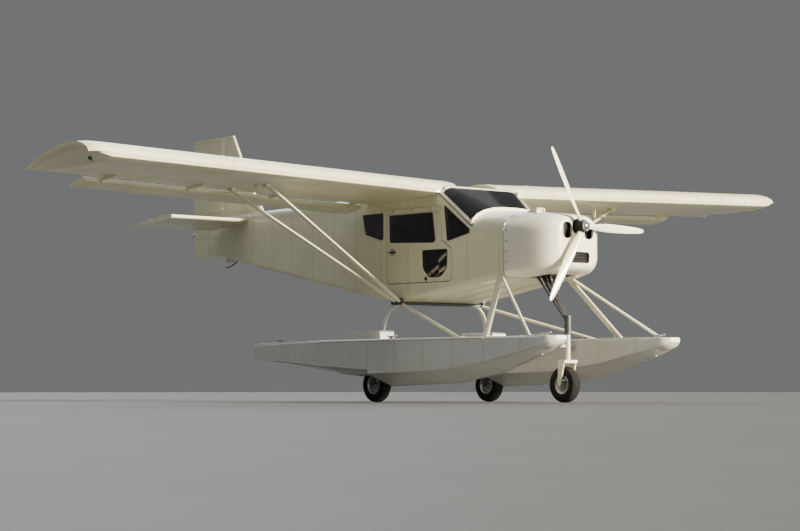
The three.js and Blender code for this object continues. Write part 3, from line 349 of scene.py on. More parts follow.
def everything():
    """Selects, in edit mode, the whole mesh."""
    bpy.ops.mesh.select_all(action="SELECT")


@contextmanager
def edit(piece):
    """Edit mode on one piece, with nothing selected in it."""
    only(piece)
    bpy.ops.object.mode_set(mode="EDIT")
    bpy.ops.mesh.select_mode(type="VERT")
    bpy.ops.mesh.select_all(action="DESELECT")
    yield
    bpy.ops.object.mode_set(mode="OBJECT")


def pick(kind, rule):
    """Selects, in edit mode, the "VERT", "EDGE" or "FACE" elements that pass a rule."""
    bpy.ops.mesh.select_mode(type=kind)
    bpy.ops.mesh.select_all(action="DESELECT")
    data = bpy.context.object.data
    mesh = bmesh.from_edit_mesh(data)
    for element in {"VERT": mesh.verts, "EDGE": mesh.edges, "FACE": mesh.faces}[kind]:
        if rule(element):
            element.select = True
    mesh.select_flush_mode()
    bmesh.update_edit_mesh(data)


def pick_facing(towards):
    """Selects, in edit mode, the faces that look towards a direction."""
    pick("FACE", lambda face: face.normal.dot(Vector(towards)) > 0.9)


def middle(edge):
    """The point halfway along an edge."""
    return (edge.verts[0].co + edge.verts[1].co) / 2


def direction(edge):
    """The unit vector along an edge."""
    return (edge.verts[1].co - edge.verts[0].co).normalized()


def centre_of(node):
    """The middle of a CAD node's box."""
    low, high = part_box(node)
    return (low + high) / 2


def start(primitive, name, **settings):
    """Adds a primitive with nothing else selected, and puts its place into its mesh."""
    bpy.ops.object.select_all(action="DESELECT")
    getattr(bpy.ops.mesh, f"primitive_{primitive}_add")(**settings)
    piece = bpy.context.object
    piece.name = name
    bpy.ops.object.transform_apply(location=True, rotation=True, scale=True)
    return piece


def empty_mesh(name):
    """A piece with nothing in it, which edit mode fills."""
    piece = start("plane", name, size=0.01)
    with edit(piece):
        everything()
        bpy.ops.mesh.delete(type="VERT")
    return piece


def apply_modifiers(piece):
    """Applies all of a piece's modifiers, in order."""
    only(piece)
    for modifier in list(piece.modifiers):
        bpy.ops.object.modifier_apply(modifier=modifier.name)


def fasten(piece, body):
    """Gives a piece its body, and lists it as finished."""
    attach(piece, body)
    finished.append((piece, body))
    return piece


def complete(piece, finish, body="airframe", angle=35):
    """Applies what is live on a piece, smooths it, paints it and fastens it to its body."""
    apply_modifiers(piece)
    bpy.ops.object.transform_apply(location=True, rotation=True, scale=True)
    bpy.ops.object.shade_smooth_by_angle(angle=math.radians(angle))
    piece.data.materials.clear()
    piece.data.materials.append(finish)
    return fasten(piece, body)


def loose_copy(model, name):
    copy = model.copy()
    copy.data = model.data.copy()
    copy.name = name
    for key in list(copy.keys()):
        del copy[key]
    bpy.context.scene.collection.objects.link(copy)
    return copy


def placed(piece, name, place, body="airframe"):
    """A copy of a finished piece, put in its place by a matrix."""
    copy = loose_copy(piece, name)
    copy.data.transform(place)
    if place.determinant() < 0:
        copy.data.flip_normals()
    return fasten(copy, body)


ACROSS = Matrix.Scale(-1, 4, LEFT)  # mirrors left to right


def mirrored(first):
    """Right-hand copies of the pieces finished since the one with this number."""
    for piece, body in finished[first:]:
        name = piece.name.replace("left", "right") if "left" in piece.name else f"{piece.name}_right"
        placed(piece, name, ACROSS, body.replace("left", "right"))


def bevelled(piece, width, segments=2, angle=40):
    """A live bevel on the piece's sharp edges, which complete() applies."""
    edge = piece.modifiers.new("edge", "BEVEL")
    edge.width = width
    edge.segments = segments
    edge.limit_method = "ANGLE"
    edge.angle_limit = math.radians(angle)
    return piece


def walled(piece, thickness, offset=1):
    """A live wall on a sheet, outwards from it with offset 1 and inwards with offset -1."""
    wall = piece.modifiers.new("wall", "SOLIDIFY")
    wall.thickness = thickness
    wall.offset = offset
    return piece


def fresh_copy(node, name):
    """A merged copy of a CAD node, with its flat faces made whole."""
    piece = loose_copy(nodes[node], name)
    piece.parent = None
    piece.hide_viewport = piece.hide_render = False
    piece.hide_set(False)
    only(piece)
    bpy.ops.mesh.customdata_custom_splitnormals_clear()
    with edit(piece):
        everything()
        bpy.ops.mesh.remove_doubles(threshold=0.00005)
        bpy.ops.mesh.dissolve_limited(angle_limit=math.radians(0.6))
    return piece


def block(name, centre, size, rotation=(0, 0, 0)):
    """A block at its place and size, to be shaped by what follows."""
    piece = start("cube", name, size=1, location=(0, 0, 0))
    with edit(piece):
        everything()
        bpy.ops.transform.resize(value=size, center_override=(0, 0, 0))
    piece.rotation_euler = rotation
    piece.location = centre
    bpy.ops.object.transform_apply(location=True, rotation=True, scale=True)
    return piece


def round_edges(axis, radius, segments):
    """Rounds, in edit mode, the edges that run along an axis."""
    pick("EDGE", lambda edge: abs(direction(edge)[axis]) > 0.9)
    bpy.ops.mesh.bevel(offset=radius, segments=segments)


def line_through(name, points):
    """A mesh of edges through points."""
    piece = start("plane", name, size=0.001, location=points[0])
    with edit(piece):
        everything()
        bpy.ops.mesh.merge(type="CENTER")
        for before, after in zip(points, points[1:]):
            bpy.ops.mesh.extrude_region_move(
                TRANSFORM_OT_translate={"value": Vector(after) - Vector(before)})
    return piece


def thickened(line, radius, sides=2):
    """Turns a mesh of edges into a round bar along them."""
    name = line.name
    only(line)
    bpy.ops.object.convert(target="CURVE")
    line = bpy.context.object
    line.data.bevel_depth = radius
    line.data.bevel_resolution = sides
    line.data.use_fill_caps = True
    bpy.ops.object.convert(target="MESH")
    bar = bpy.context.object
    bar.name = name
    return bar


def pipe(name, points, radius, finish, body="airframe"):
    """A round rod or tube along a line of points."""
    return complete(thickened(line_through(name, points), radius, 3), finish, body, BAR_ANGLE)


def turned(name, profile, centre, axis, steps=48):
    """A closed profile of (along the axis, radius) pairs, spun about an axis through a point."""
    centre, axis = Vector(centre), Vector(axis).normalized()
    out = axis.orthogonal().normalized()
    points = [centre + axis * along + out * radius for along, radius in [*profile, profile[0]]]
    piece = line_through(name, points)
    with edit(piece):
        everything()
        bpy.ops.mesh.spin(steps=steps, angle=2 * math.pi, center=centre, axis=axis)
        everything()
        bpy.ops.mesh.remove_doubles(threshold=0.00004)
        bpy.ops.mesh.delete_loose()
        everything()
        bpy.ops.mesh.normals_make_consistent(inside=False)
    return piece


def turned_part(name, profile, place, axis, finish, steps=32, body="airframe"):
    """A finished turned part. The same part elsewhere is a copy of the first one."""
    turn = Vector(axis).to_track_quat("Z", "Y").to_matrix().to_4x4()
    here = Matrix.Translation(place) @ turn
    key = (profile, finish.name)
    if key in first_made:
        model, there = first_made[key]
        return placed(model, name, here @ there.inverted(), body)
    piece = complete(turned(name, profile, place, axis, steps), finish, body)
    first_made[key] = (piece, here)
    return piece


def on_skin(node, above, towards):
    """Where a ray meets a CAD node, and the skin's direction there."""
    data = nodes[node].data
    skin = BVHTree.FromPolygons(
        [vertex.co for vertex in data.vertices], [polygon.vertices for polygon in data.polygons])
    place, normal, _, _ = skin.ray_cast(Vector(above), Vector(towards).normalized())
    assert place, f"no skin of {node} there"
    return place, normal


def fitting(name, profile, skin_place, finish, steps, body="airframe", sunk=0.0008):
    """A turned part that stands on a skin, sunk a little into it so that no gap shows."""
    place, normal = skin_place
    return turned_part(name, profile, place - normal * sunk, normal, finish, steps, body)


def out_from(point, height):
    """The way across the aircraft from its middle line, at a height, to a point."""
    return Vector((point.x, 0, point.z - height))


# skins: each painted solid gets a merged copy that shades smoothly round its curves

CABIN_MIDDLE = 1.55


def reskin(node, finish, inner=None, angle=32):
    """The painted skin of a CAD node. Where it is hollow, its inside takes another finish."""
    skin = complete(fresh_copy(node, f"{node}_skin"), finish, body_of_node[node], angle)
    if inner is not None:
        skin.data.materials.append(inner)
        for face in skin.data.polygons:
            out = out_from(face.center, CABIN_MIDDLE)
            face.material_index = int(face.normal.dot(out) < -0.02 * out.length)
    weighted = skin.modifiers.new("flat_panels", "WEIGHTED_NORMAL")
    weighted.keep_sharp = True
    apply_modifiers(skin)
    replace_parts(skin, node)
    return skin


reskin("cabin_shell", fuselage_paint, lining, 40)
reskin("windshield", acrylic, angle=40)
reskin("tail_cone", fuselage_paint, lining)
reskin("roof_skin", fuselage_paint, lining)
reskin("fin", fin_paint)
reskin("rudder", fin_paint)
reskin("stabiliser", tail_paint)
reskin("elevator", tail_paint)
for side, _ in SIDES:
    reskin(f"wing_{side}", wing_paint)
    reskin(f"flaperon_{side}", wing_paint)
    reskin(f"door_{side}", fuselage_paint, lining)
    reskin(f"float_{side}", float_paint, angle=24)
    for bar in ("front_strut", "rear_strut", "diagonal_brace", "front_float_strut"):
        reskin(f"{bar}_{side}", plain_paint)
    reskin(f"spring_leg_{side}", grey_paint)
    reskin(f"main_leg_{side}", steel)
for bar in ("front_spreader", "rear_spreader"):
    reskin(bar, grey_paint)
reskin("nose_leg", steel)
reskin("gear_crossbar", steel)
reskin("engine", casting)
reskin("exhaust", hot_steel)


# windows: black seals round every pane, and a light frame on the windshield

PANES = ["windshield"] + [f"{pane}_{side}" for side, _ in SIDES for pane in (
    "door_window", "door_port", "quarter_window", "rear_window")]
SEAL_RADIUS = 0.0055
FRAME_WIDTH, FRAME_DEPTH = 0.036, 0.0026
CABIN_CENTRE = Vector((0, -1.4, 1.3))


def outer_face(face):
    """True for a face of a pane that looks away from the cabin."""
    out = face.calc_center_median() - CABIN_CENTRE
    return face.normal.dot(out) > 0.25 * out.length


def rim_of_pane(edge):
    """True for an edge between a pane's outer face and its thin side."""
    return len(edge.link_faces) == 2 and (
        outer_face(edge.link_faces[0]) != outer_face(edge.link_faces[1]))


def bead(node, name, radius, finish, rule, body="airframe"):
    """A round bead along the edges of a CAD node that pass a rule."""
    piece = fresh_copy(node, name)
    with edit(piece):
        pick("EDGE", rule)
        bpy.ops.mesh.select_all(action="INVERT")
        bpy.ops.mesh.delete(type="EDGE")
    with edit(piece):
        pick("VERT", lambda vertex: not vertex.link_edges)
        bpy.ops.mesh.delete(type="VERT")
    return complete(thickened(piece, radius), finish, body, BAR_ANGLE)


def windshield_frame():
    """A flat frame of sheet that covers the edge of the windshield's outer face."""
    piece = fresh_copy("windshield", "windshield_frame")
    with edit(piece):
        pick("FACE", lambda face: not outer_face(face))
        bpy.ops.mesh.delete(type="FACE")
        everything()
        bpy.ops.mesh.inset(thickness=FRAME_WIDTH, use_boundary=True)
        bpy.ops.mesh.delete(type="FACE")
    complete(bevelled(walled(piece, FRAME_DEPTH), FRAME_DEPTH * 0.3, 1), gelcoat)


for pane in PANES:
    nodes[pane].data.materials.clear()
    nodes[pane].data.materials.append(acrylic)
    bead(pane, f"{pane}_seal", SEAL_RADIUS, black, rim_of_pane, body_of_node[pane])
windshield_frame()


# cowling: smooth laminate with lipped intakes, a radiator behind the lower one, and a scoop

COWL_NOSE, COWL_REAR = (corner.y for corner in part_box("cowling"))
COWL_MIDDLE = 1.5
COWL_WALL = 0.006
PROP_CENTRE = Vector((0, -2.857, 1.65))
# Columns: y, top, bottom, half width, top corner, bottom corner, top corner's width
COWL_RINGS = (
    (-2.797, 1.712, 1.296, 0.208, 0.118, 0.098, 0.118),
    (-2.787, 1.733, 1.276, 0.247, 0.142, 0.116, 0.146),
    (-2.764, 1.749, 1.257, 0.283, 0.158, 0.122, 0.17),
    (-2.715, 1.766, 1.236, 0.331, 0.172, 0.121, 0.197),
    (-2.562, 1.788, 1.206, 0.402, 0.186, 0.1, 0.258),
    (-2.2855, 1.81, 1.18, 0.48, 0.19, 0.08, 0.34),
)
# Openings: width, height, corner
HUB_HOLE = (0.15, 0.15, 0.0745)
CHEEK = (0.118, 0.154, 0.044)
LOWER_INTAKE = (0.29, 0.104, 0.024)
OUTLET = (0.34, 0.2, 0.03)
OUTLET_PLACE = (0, -2.42, 1.2)
CHEEK_X, CHEEK_Z = 0.14, 1.612
INTAKE_Z = 1.36
CUTTER_Y, CUTTER_DEPTH = -2.78, 0.2
LIP_WIDTH, LIP_EDGE = 0.009, 0.00225
RADIATOR_Y, FIN_Y, TUBE_Y = -2.752, -2.771, -2.772
FIN_COUNT, FIN_PITCH, TUBE_PITCH = 46, 0.00605, 0.032
BAFFLE_PLACE, BAFFLE_SIZE, BAFFLE_TILT = (0.136, -2.742, CHEEK_Z), (0.17, 0.012, 0.2), math.radians(14)
SCOOP_X, SCOOP_Y = -0.16, -2.40
SCOOP_SIZE = (0.11, 0.13, 0.052)
FASTENER = ((0.0, 0.0), (0.0, 0.011), (0.0022, 0.0105), (0.0032, 0.008), (0.0024, 0.0045), (0.0034, 0.0))
SEAM_RADIUS, SEAM_MARGIN = 0.0042, 0.03


def rounded_ring(y, top, bottom, half, crown, keel, crown_width):
    """Adds, in edit mode, a loop of edges across the aircraft. Its top corners are drawn out wide."""
    def in_ring(vertex):
        return abs(vertex.co.y - y) < 1e-5

    centre = (0, y, (top + bottom) / 2)
    bpy.ops.mesh.primitive_plane_add(size=1, location=centre, rotation=(math.pi / 2, 0, 0))
    bpy.ops.transform.resize(value=(2 * half, 1, top - bottom), center_override=centre)
    for level, radius in ((top, crown), (bottom, keel)):
        pick("VERT", lambda vertex: in_ring(vertex) and abs(vertex.co.z - level) < 1e-5)
        bpy.ops.mesh.bevel(offset=radius, segments=7, affect="VERTICES")
    for _, sign in SIDES:
        pick("VERT", lambda vertex: in_ring(vertex) and vertex.co.x * sign > 0
             and vertex.co.z > top - crown - 1e-4)
        bpy.ops.transform.resize(
            value=(crown_width / crown, 1, 1), center_override=(sign * half, y, top))
    pick("FACE", lambda face: abs(face.calc_center_median().y - y) < 1e-5)
    bpy.ops.mesh.delete(type="ONLY_FACE")


def opening(name, centre, depth, shape, segments=5, grow=0):
    """A rounded bar that runs through an opening's outline, as a cutter or to make a lip of."""
    width, height, corner = shape
    bar = block(name, centre, (width + 2 * grow, depth, height + 2 * grow))
    with edit(bar):
        round_edges(Y, corner + grow, segments)
    return bar


def cut_openings(piece, cutters):
    """Cuts rounded openings through a piece, and puts the cutters away."""
    for cutter in cutters:
        cut = piece.modifiers.new(cutter.name, "BOOLEAN")
        cut.operation = "DIFFERENCE"
        cut.object = cutter
        cut.solver = "EXACT"
    apply_modifiers(piece)
    for cutter in cutters:
        bpy.data.objects.remove(cutter)


def make_cowling():
    """The cowling's skin: rings bridged smoothly, closed in front, walled and cut open."""
    cowl = empty_mesh("cowling_skin")
    with edit(cowl):
        for ring in COWL_RINGS:
            rounded_ring(*ring)
        everything()
        bpy.ops.mesh.bridge_edge_loops(number_cuts=2, interpolation="SURFACE", smoothness=0.9)
    with edit(cowl):
        pick("EDGE", lambda edge: edge.is_boundary and middle(edge).y < COWL_NOSE + 0.004)
        bpy.ops.mesh.edge_face_add()
        bpy.ops.mesh.inset(thickness=0.03)
        everything()
        bpy.ops.mesh.normals_make_consistent(inside=False)
    apply_modifiers(walled(cowl, COWL_WALL, -1))
    cutters = [opening("hub_hole", (0, -2.8, PROP_CENTRE.z), 0.14, HUB_HOLE, 12)]
    for side, sign in SIDES:
        cutters.append(opening(
            f"cheek_{side}", (sign * CHEEK_X, CUTTER_Y, CHEEK_Z), CUTTER_DEPTH, CHEEK))
    cutters.append(opening("lower_intake", (0, CUTTER_Y, INTAKE_Z), CUTTER_DEPTH, LOWER_INTAKE))
    cutters.append(opening("outlet", OUTLET_PLACE, 0.28, OUTLET))
    cut_openings(cowl, cutters)
    complete(cowl, gelcoat, angle=34)
    cowl.data.materials.append(black)
    for face in cowl.data.polygons:
        out = out_from(face.center, COWL_MIDDLE)
        inside = face.normal.dot(out) < -0.02 * out.length or face.normal.y > 0.5
        face.material_index = int(inside)
    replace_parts(cowl, "cowling")


def intake_lip(name, centre, depth, shape):
    """A raised lip round an opening in the cowling's face."""
    lip = opening(name, centre, depth, shape, grow=LIP_WIDTH)
    with edit(lip):
        pick("FACE", lambda face: abs(face.normal.y) > 0.9)
        bpy.ops.mesh.inset(thickness=LIP_WIDTH)
        bpy.ops.mesh.bridge_edge_loops()
    complete(bevelled(lip, LIP_EDGE, 3, 50), gelcoat)


def radiator():
    """A finned radiator set back in the lower intake: flat tubes with folded fins between."""
    width, height, _ = LOWER_INTAKE
    core = block("radiator_core", (0, RADIATOR_Y, INTAKE_Z), (width - 0.006, 0.03, height - 0.006))
    complete(bevelled(core, 0.003), casting)
    fin = block("radiator_fins", (-0.138, FIN_Y, INTAKE_Z), (0.0016, 0.01, height - 0.01))
    row = fin.modifiers.new("fins", "ARRAY")
    row.count = FIN_COUNT
    row.use_relative_offset = False
    row.use_constant_offset = True
    row.constant_offset_displace = (FIN_PITCH, 0, 0)
    complete(fin, casting)
    tube = block("radiator_tube_0", (0, TUBE_Y, INTAKE_Z - TUBE_PITCH), (width - 0.01, 0.012, 0.005))
    complete(bevelled(tube, 0.002), casting)
    for index in (1, 2):
        placed(tube, f"radiator_tube_{index}", Matrix.Translation((0, 0, TUBE_PITCH * index)))


def cheek_baffles():
    """A ribbed baffle that closes each cheek behind its opening."""
    baffle = block("cheek_baffle_left", BAFFLE_PLACE, BAFFLE_SIZE, (BAFFLE_TILT, 0, 0))
    with edit(baffle):
        pick_facing(AHEAD)
        bpy.ops.mesh.inset(thickness=0.02)
        bpy.ops.mesh.inset(thickness=0.004, depth=-0.004)
    complete(bevelled(baffle, 0.002), casting)
    placed(baffle, "cheek_baffle_right", ACROSS)


def on_cowl_rear(edge):
    """True for an edge of the cowling's outline where it meets the cabin."""
    return all(vertex.co.y > COWL_REAR - 0.001 for vertex in edge.verts) and any(
        face.normal.dot(out_from(face.calc_center_median(), COWL_MIDDLE)) > 0.1
        and abs(face.normal.y) < 0.8 for face in edge.link_faces)


make_cowling()
for side, sign in SIDES:
    intake_lip(f"cheek_lip_{side}", (sign * CHEEK_X, COWL_NOSE + 0.008, CHEEK_Z), 0.022, CHEEK)
intake_lip("lower_intake_lip", (0, COWL_NOSE + 0.004, INTAKE_Z), 0.02, LOWER_INTAKE)
radiator()
cheek_baffles()
bead("cowling", "firewall_seam", SEAM_RADIUS, bare_metal, on_cowl_rear)


# propeller: twisted laminated blades in clamps round a cast hub

PROP_PHASE = 29  # degrees from straight up to the first blade
BLADE_STEP = 120
# Columns of a blade row: radius, width, depth, pitch in degrees
BLADE_ROWS = (
    (0.045, 0.042, 0.040, 42), (0.1, 0.05, 0.03, 38), (0.18, 0.066, 0.021, 32),
    (0.3, 0.082, 0.015, 25), (0.43, 0.08, 0.0125, 20), (0.56, 0.073, 0.01, 16),
    (0.68, 0.062, 0.008, 13.5), (0.76, 0.05, 0.007, 12), (0.805, 0.036, 0.0055, 11),
    (0.823, 0.018, 0.004, 10.5),
)
# Profiles are (along the axis, radius) pairs
HUB = (
    (-0.046, 0.0), (-0.046, 0.040), (-0.044, 0.050), (-0.040, 0.053), (-0.022, 0.054), (-0.018, 0.060),
    (0.018, 0.062), (0.022, 0.056), (0.040, 0.056), (0.042, 0.062), (0.052, 0.062), (0.052, 0.0))
HUB_CAP = (
    (-0.0619, 0.0), (-0.0605, 0.012), (-0.057, 0.021), (-0.050, 0.028), (-0.046, 0.030), (-0.044, 0.0))
BLADE_CLAMP = ((0.0, 0.0), (0.0, 0.031), (0.012, 0.032), (0.03, 0.030), (0.036, 0.027), (0.038, 0.0))
HUB_BOLT = ((0.0, 0.0), (0.0, 0.0075), (-0.005, 0.0075), (-0.0065, 0.006), (-0.0065, 0.0))


def propeller_blade(index):
    """One blade: rings of a rounded section, bridged out to the tip and turned in place."""
    blade = empty_mesh(f"propeller_blade_{index}")
    with edit(blade):
        for radius, width, depth, pitch in BLADE_ROWS:
            centre = PROP_CENTRE + Vector((0, 0, radius))
            bpy.ops.mesh.primitive_circle_add(vertices=20, radius=0.5, location=centre)
            bpy.ops.transform.resize(value=(width, depth, 1), center_override=centre)
            bpy.ops.transform.rotate(value=math.radians(-pitch), orient_axis="Z", center_override=centre)
        everything()
        bpy.ops.mesh.bridge_edge_loops(number_cuts=1, interpolation="SURFACE", smoothness=0.8)
        everything()
        bpy.ops.mesh.fill_holes(sides=0)
        bpy.ops.mesh.normals_make_consistent(inside=False)
        bpy.ops.transform.rotate(value=math.radians(PROP_PHASE + BLADE_STEP * index), orient_axis="Y",
                                 center_override=PROP_CENTRE)
    complete(blade, gelcoat, "propeller", 50)


def around_hub(radius, degrees, y=PROP_CENTRE.y):
    """A point round the propeller's axis, from straight up."""
    turn = math.radians(degrees)
    return Vector((-radius * math.sin(turn), y, PROP_CENTRE.z + radius * math.cos(turn)))


hub = turned_part("propeller_hub", HUB, PROP_CENTRE, AFT, casting, 64, "propeller")
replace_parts(hub, "propeller")
turned_part("hub_cap", HUB_CAP, PROP_CENTRE, AFT, bare_metal, 48, "propeller")
for index in range(3):
    propeller_blade(index)
    angle = PROP_PHASE + BLADE_STEP * index
    foot, top = around_hub(0.03, angle), around_hub(0.072, angle)
    turned_part(f"blade_clamp_{index}", BLADE_CLAMP, foot, top - foot, casting, 32, "propeller")
    for label, offset in (("a", 34), ("b", 60), ("c", 86)):
        place = around_hub(0.041, angle + offset, PROP_CENTRE.y - 0.0455)
        turned_part(f"hub_bolt_{index}{label}", HUB_BOLT, place, AFT, bare_metal, 6, "propeller")

# A small scoop on the cowling's top, just ahead of the windshield
place, _ = on_skin("cowling", (SCOOP_X, SCOOP_Y, 2.2), DOWN)
scoop = block("cowl_scoop", (SCOOP_X, SCOOP_Y, place.z + 0.012), SCOOP_SIZE)
with edit(scoop):
    pick("VERT", lambda vertex: vertex.co.y > SCOOP_Y + 0.04 and vertex.co.z > place.z + 0.02)
    bpy.ops.transform.translate(value=(0, 0, -0.026))
    pick_facing(AHEAD)
    bpy.ops.mesh.inset(thickness=0.009)
    bpy.ops.mesh.inset(thickness=0.0015, depth=-0.03)
complete(bevelled(scoop, 0.008, 3, 30), gelcoat)

# Quarter-turn fasteners along the seam between the cowling and the cabin
for side, sign in SIDES:
    for index, z in enumerate((1.32, 1.42, 1.52, 1.62)):
        spot = on_skin("cowling", (sign * 1.2, COWL_REAR - SEAM_MARGIN, z), (-sign, 0, 0))
        fitting(f"cowl_fastener_{side}_{index}", FASTENER, spot, bare_metal, 16, sunk=0.0006)
for index, x in enumerate((-0.24, -0.08, 0.08, 0.24)):
    spot = on_skin("cowling", (x, COWL_REAR - SEAM_MARGIN, 2.2), DOWN)
    fitting(f"cowl_fastener_top_{index}", FASTENER, spot, bare_metal, 16, sunk=0.0006)


# wheels and fork

reskin("nose_fork", plain_paint)

TYRE_HALF = (
    (0.0, 0.1700), (0.0055, 0.1700), (0.0065, 0.1668), (0.0105, 0.1668), (0.0115, 0.1697),
    (0.0225, 0.1690), (0.0235, 0.1655), (0.0275, 0.1652), (0.0285, 0.1680), (0.0370, 0.1652),
    (0.0450, 0.1590), (0.0510, 0.1500), (0.0545, 0.1380), (0.0558, 0.1250), (0.0548, 0.1120),
    (0.0505, 0.1000), (0.0450, 0.0930), (0.0420, 0.0895), (0.0385, 0.0850))
RIM_HALF = (
    (0.0, 0.0820), (0.0360, 0.0825), (0.0400, 0.0850), (0.0435, 0.0905), (0.0465, 0.0912),
    (0.0478, 0.0890), (0.0462, 0.0800), (0.0420, 0.0720), (0.0300, 0.0655), (0.0220, 0.0600),
    (0.0200, 0.0480), (0.0235, 0.0370), (0.0380, 0.0310), (0.0560, 0.0290), (0.0595, 0.0265),
    (0.0600, 0.0114))
WHEEL_BOLT = ((0.0, 0.0), (0.0, 0.0062), (0.0056, 0.0062), (0.0068, 0.0048), (0.0068, 0.0))
BOLT_COUNT, BOLT_CIRCLE, BOLT_FOOT = 6, 0.052, 0.0195
MAIN_CENTRE = centre_of("main_tyre_left")


def both_halves(half):
    """A wheel's whole profile, from its right side round to its left."""
    return (*((-along, radius) for along, radius in reversed(half[1:])), *half)


# The left main wheel: a tyre with four grooves, and a rim with a dished web, a hub and six through
# bolts. The other two wheels are copies of it.
first = len(finished)
MAIN = "main_wheel_left"
tyre = turned_part("tyre_left", both_halves(TYRE_HALF), MAIN_CENTRE, LEFT, rubber, 96, MAIN)
rim = turned_part("rim_left", both_halves(RIM_HALF), MAIN_CENTRE, LEFT, bare_metal, 72, MAIN)
for index in range(BOLT_COUNT):
    turn = math.radians(360 / BOLT_COUNT * index + 15)
    for sign, face in ((1, "outer"), (-1, "inner")):
        foot = MAIN_CENTRE + Vector(
            (sign * BOLT_FOOT, BOLT_CIRCLE * math.cos(turn), BOLT_CIRCLE * math.sin(turn)))
        turned_part(f"rim_bolt_{face}_{index}_left", WHEEL_BOLT, foot, (sign, 0, 0), bare_metal, 6, MAIN)
valve = MAIN_CENTRE + Vector((0.044, 0, 0.076))
pipe("valve_left", [valve, valve + Vector((0.012, 0, -0.008))], 0.0035, rubber, MAIN)
wheel_pieces = [piece for piece, _ in finished[first:]]
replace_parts(tyre, "main_tyre_left")
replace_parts(rim, "main_rim_left")
for label, body, tyre_node, rim_node, flip in (
        ("right", "main_wheel_right", "main_tyre_right", "main_rim_right", ACROSS),
        ("nose", "nose_wheel", "nose_tyre", "nose_rim", Matrix.Identity(4))):
    there = Matrix.Translation(centre_of(tyre_node)) @ flip @ Matrix.Translation(-MAIN_CENTRE)
    for piece in wheel_pieces:
        copy = placed(piece, piece.name.replace("left", label), there, body)
        if piece is tyre:
            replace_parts(copy, tyre_node)
        if piece is rim:
            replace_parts(copy, rim_node)


# cabin: padded seats on painted pans, instrument panel, stick grips and pedals

SEAT_X = centre_of("seat_left").x
BACK_LEAN = math.radians(20)  # from upright, backwards
# Columns: centre's y and z, size, lean, height of the crown
SEAT_BASE = (-1.118, 1.317, (0.39, 0.43, 0.07), math.radians(-7), 0.014)
SEAT_BACK = (-0.832, 1.500, (0.38, 0.44, 0.062), math.radians(90) - BACK_LEAN, 0.012)
PULL_IN = 0.012  # how far the cloth draws a cushion's sides in between its corners
CHANNEL_AT, CHANNEL_WIDTH, CHANNEL_DEPTH = 0.42, 0.045, 0.007
FOAM_VOXEL, MOST_SWELL, SWELL_STEPS = 0.012, 0.010, 20


def padded_cushion(name, y, z, size, lean, crown):
    """A foam cushion under cloth: crowned, pulled in between its corners, with two sewn channels."""
    centre = Vector((SEAT_X, y, z))
    pad = block(name, centre, size, (lean, 0, 0))
    with edit(pad):
        everything()
        bpy.ops.mesh.subdivide(number_cuts=11)
    turn = Matrix.Rotation(lean, 3, "X")
    across, along, up = (turn @ Vector(axis) for axis in (LEFT, AFT, UP))
    for vertex in pad.data.vertices:
        off = vertex.co - centre
        u, v, w = off.dot(across) / size[0] * 2, off.dot(along) / size[1] * 2, off.dot(up) / size[2] * 2
        full = (1 - u ** 4) * (1 - v ** 4)
        vertex.co += up * w * crown * full
        vertex.co -= across * u * PULL_IN * (1 - v * v) * (1 - w * w)
        vertex.co -= along * v * PULL_IN * (1 - u * u) * (1 - w * w)
    inflate(pad)
    for vertex in pad.data.vertices:  # the channels are pressed in after the foam has swelled
        off = vertex.co - centre
        u = off.dot(across) / size[0] * 2
        if off.dot(up) > 0:
            seam = max(math.exp(-((u - at) / CHANNEL_WIDTH) ** 2) for at in (-CHANNEL_AT, CHANNEL_AT))
            vertex.co -= up * CHANNEL_DEPTH * seam
    smooth = pad.modifiers.new("smooth", "SUBSURF")
    smooth.levels = smooth.render_levels = 1
    complete(pad, cloth, angle=80)
    return pad


def inflate(pad):
    """Swells a pad as cloth under pressure, and caps how far each point may move."""
    remesh = pad.modifiers.new("voxels", "REMESH")
    remesh.mode = "VOXEL"
    remesh.voxel_size = FOAM_VOXEL
    apply_modifiers(pad)
    before = [vertex.co.copy() for vertex in pad.data.vertices]
    swell = pad.modifiers.new("swell", "CLOTH")
    swell.settings.use_pressure = True
    swell.settings.uniform_pressure_force = 4
    swell.settings.effector_weights.gravity = 0
    scene = bpy.context.scene
    for step in range(1, SWELL_STEPS + 1):
        scene.frame_set(step)
    bpy.ops.object.modifier_apply(modifier=swell.name)
    scene.frame_set(1)
    for vertex, old in zip(pad.data.vertices, before):
        move = vertex.co - old
        if move.length > MOST_SWELL:
            vertex.co = old + move * (MOST_SWELL / move.length)


def seat_pan():
    """A painted shell under the cushions, narrowed and sunk so that they sit in it."""
    pan = fresh_copy("seat_left", "seat_pan_left")
    with edit(pan):
        everything()
        bpy.ops.transform.resize(value=(0.93, 1, 1), center_override=(SEAT_X, 0, 0))
        pick("FACE", lambda face: face.normal.z > 0.8 and face.calc_area() > 0.05)
        bpy.ops.transform.translate(value=(0, 0, -0.03))
        pick("FACE", lambda face: face.normal.y < -0.8 and face.calc_area() > 0.05
             and face.calc_center_median().z > 1.35)
        bpy.ops.transform.translate(value=(0, 0.03, 0))
    return complete(bevelled(pan, 0.004), black)


base = padded_cushion("seat_base_left", *SEAT_BASE)
back = padded_cushion("seat_back_left", *SEAT_BACK)
pan = seat_pan()
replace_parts(pan, "seat_left")
to_right_seat = Matrix.Translation((-2 * SEAT_X, 0, 0))
for piece, name in ((base, "seat_base_right"), (back, "seat_back_right")):
    placed(piece, name, to_right_seat)
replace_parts(placed(pan, "seat_pan_right", to_right_seat), "seat_right")

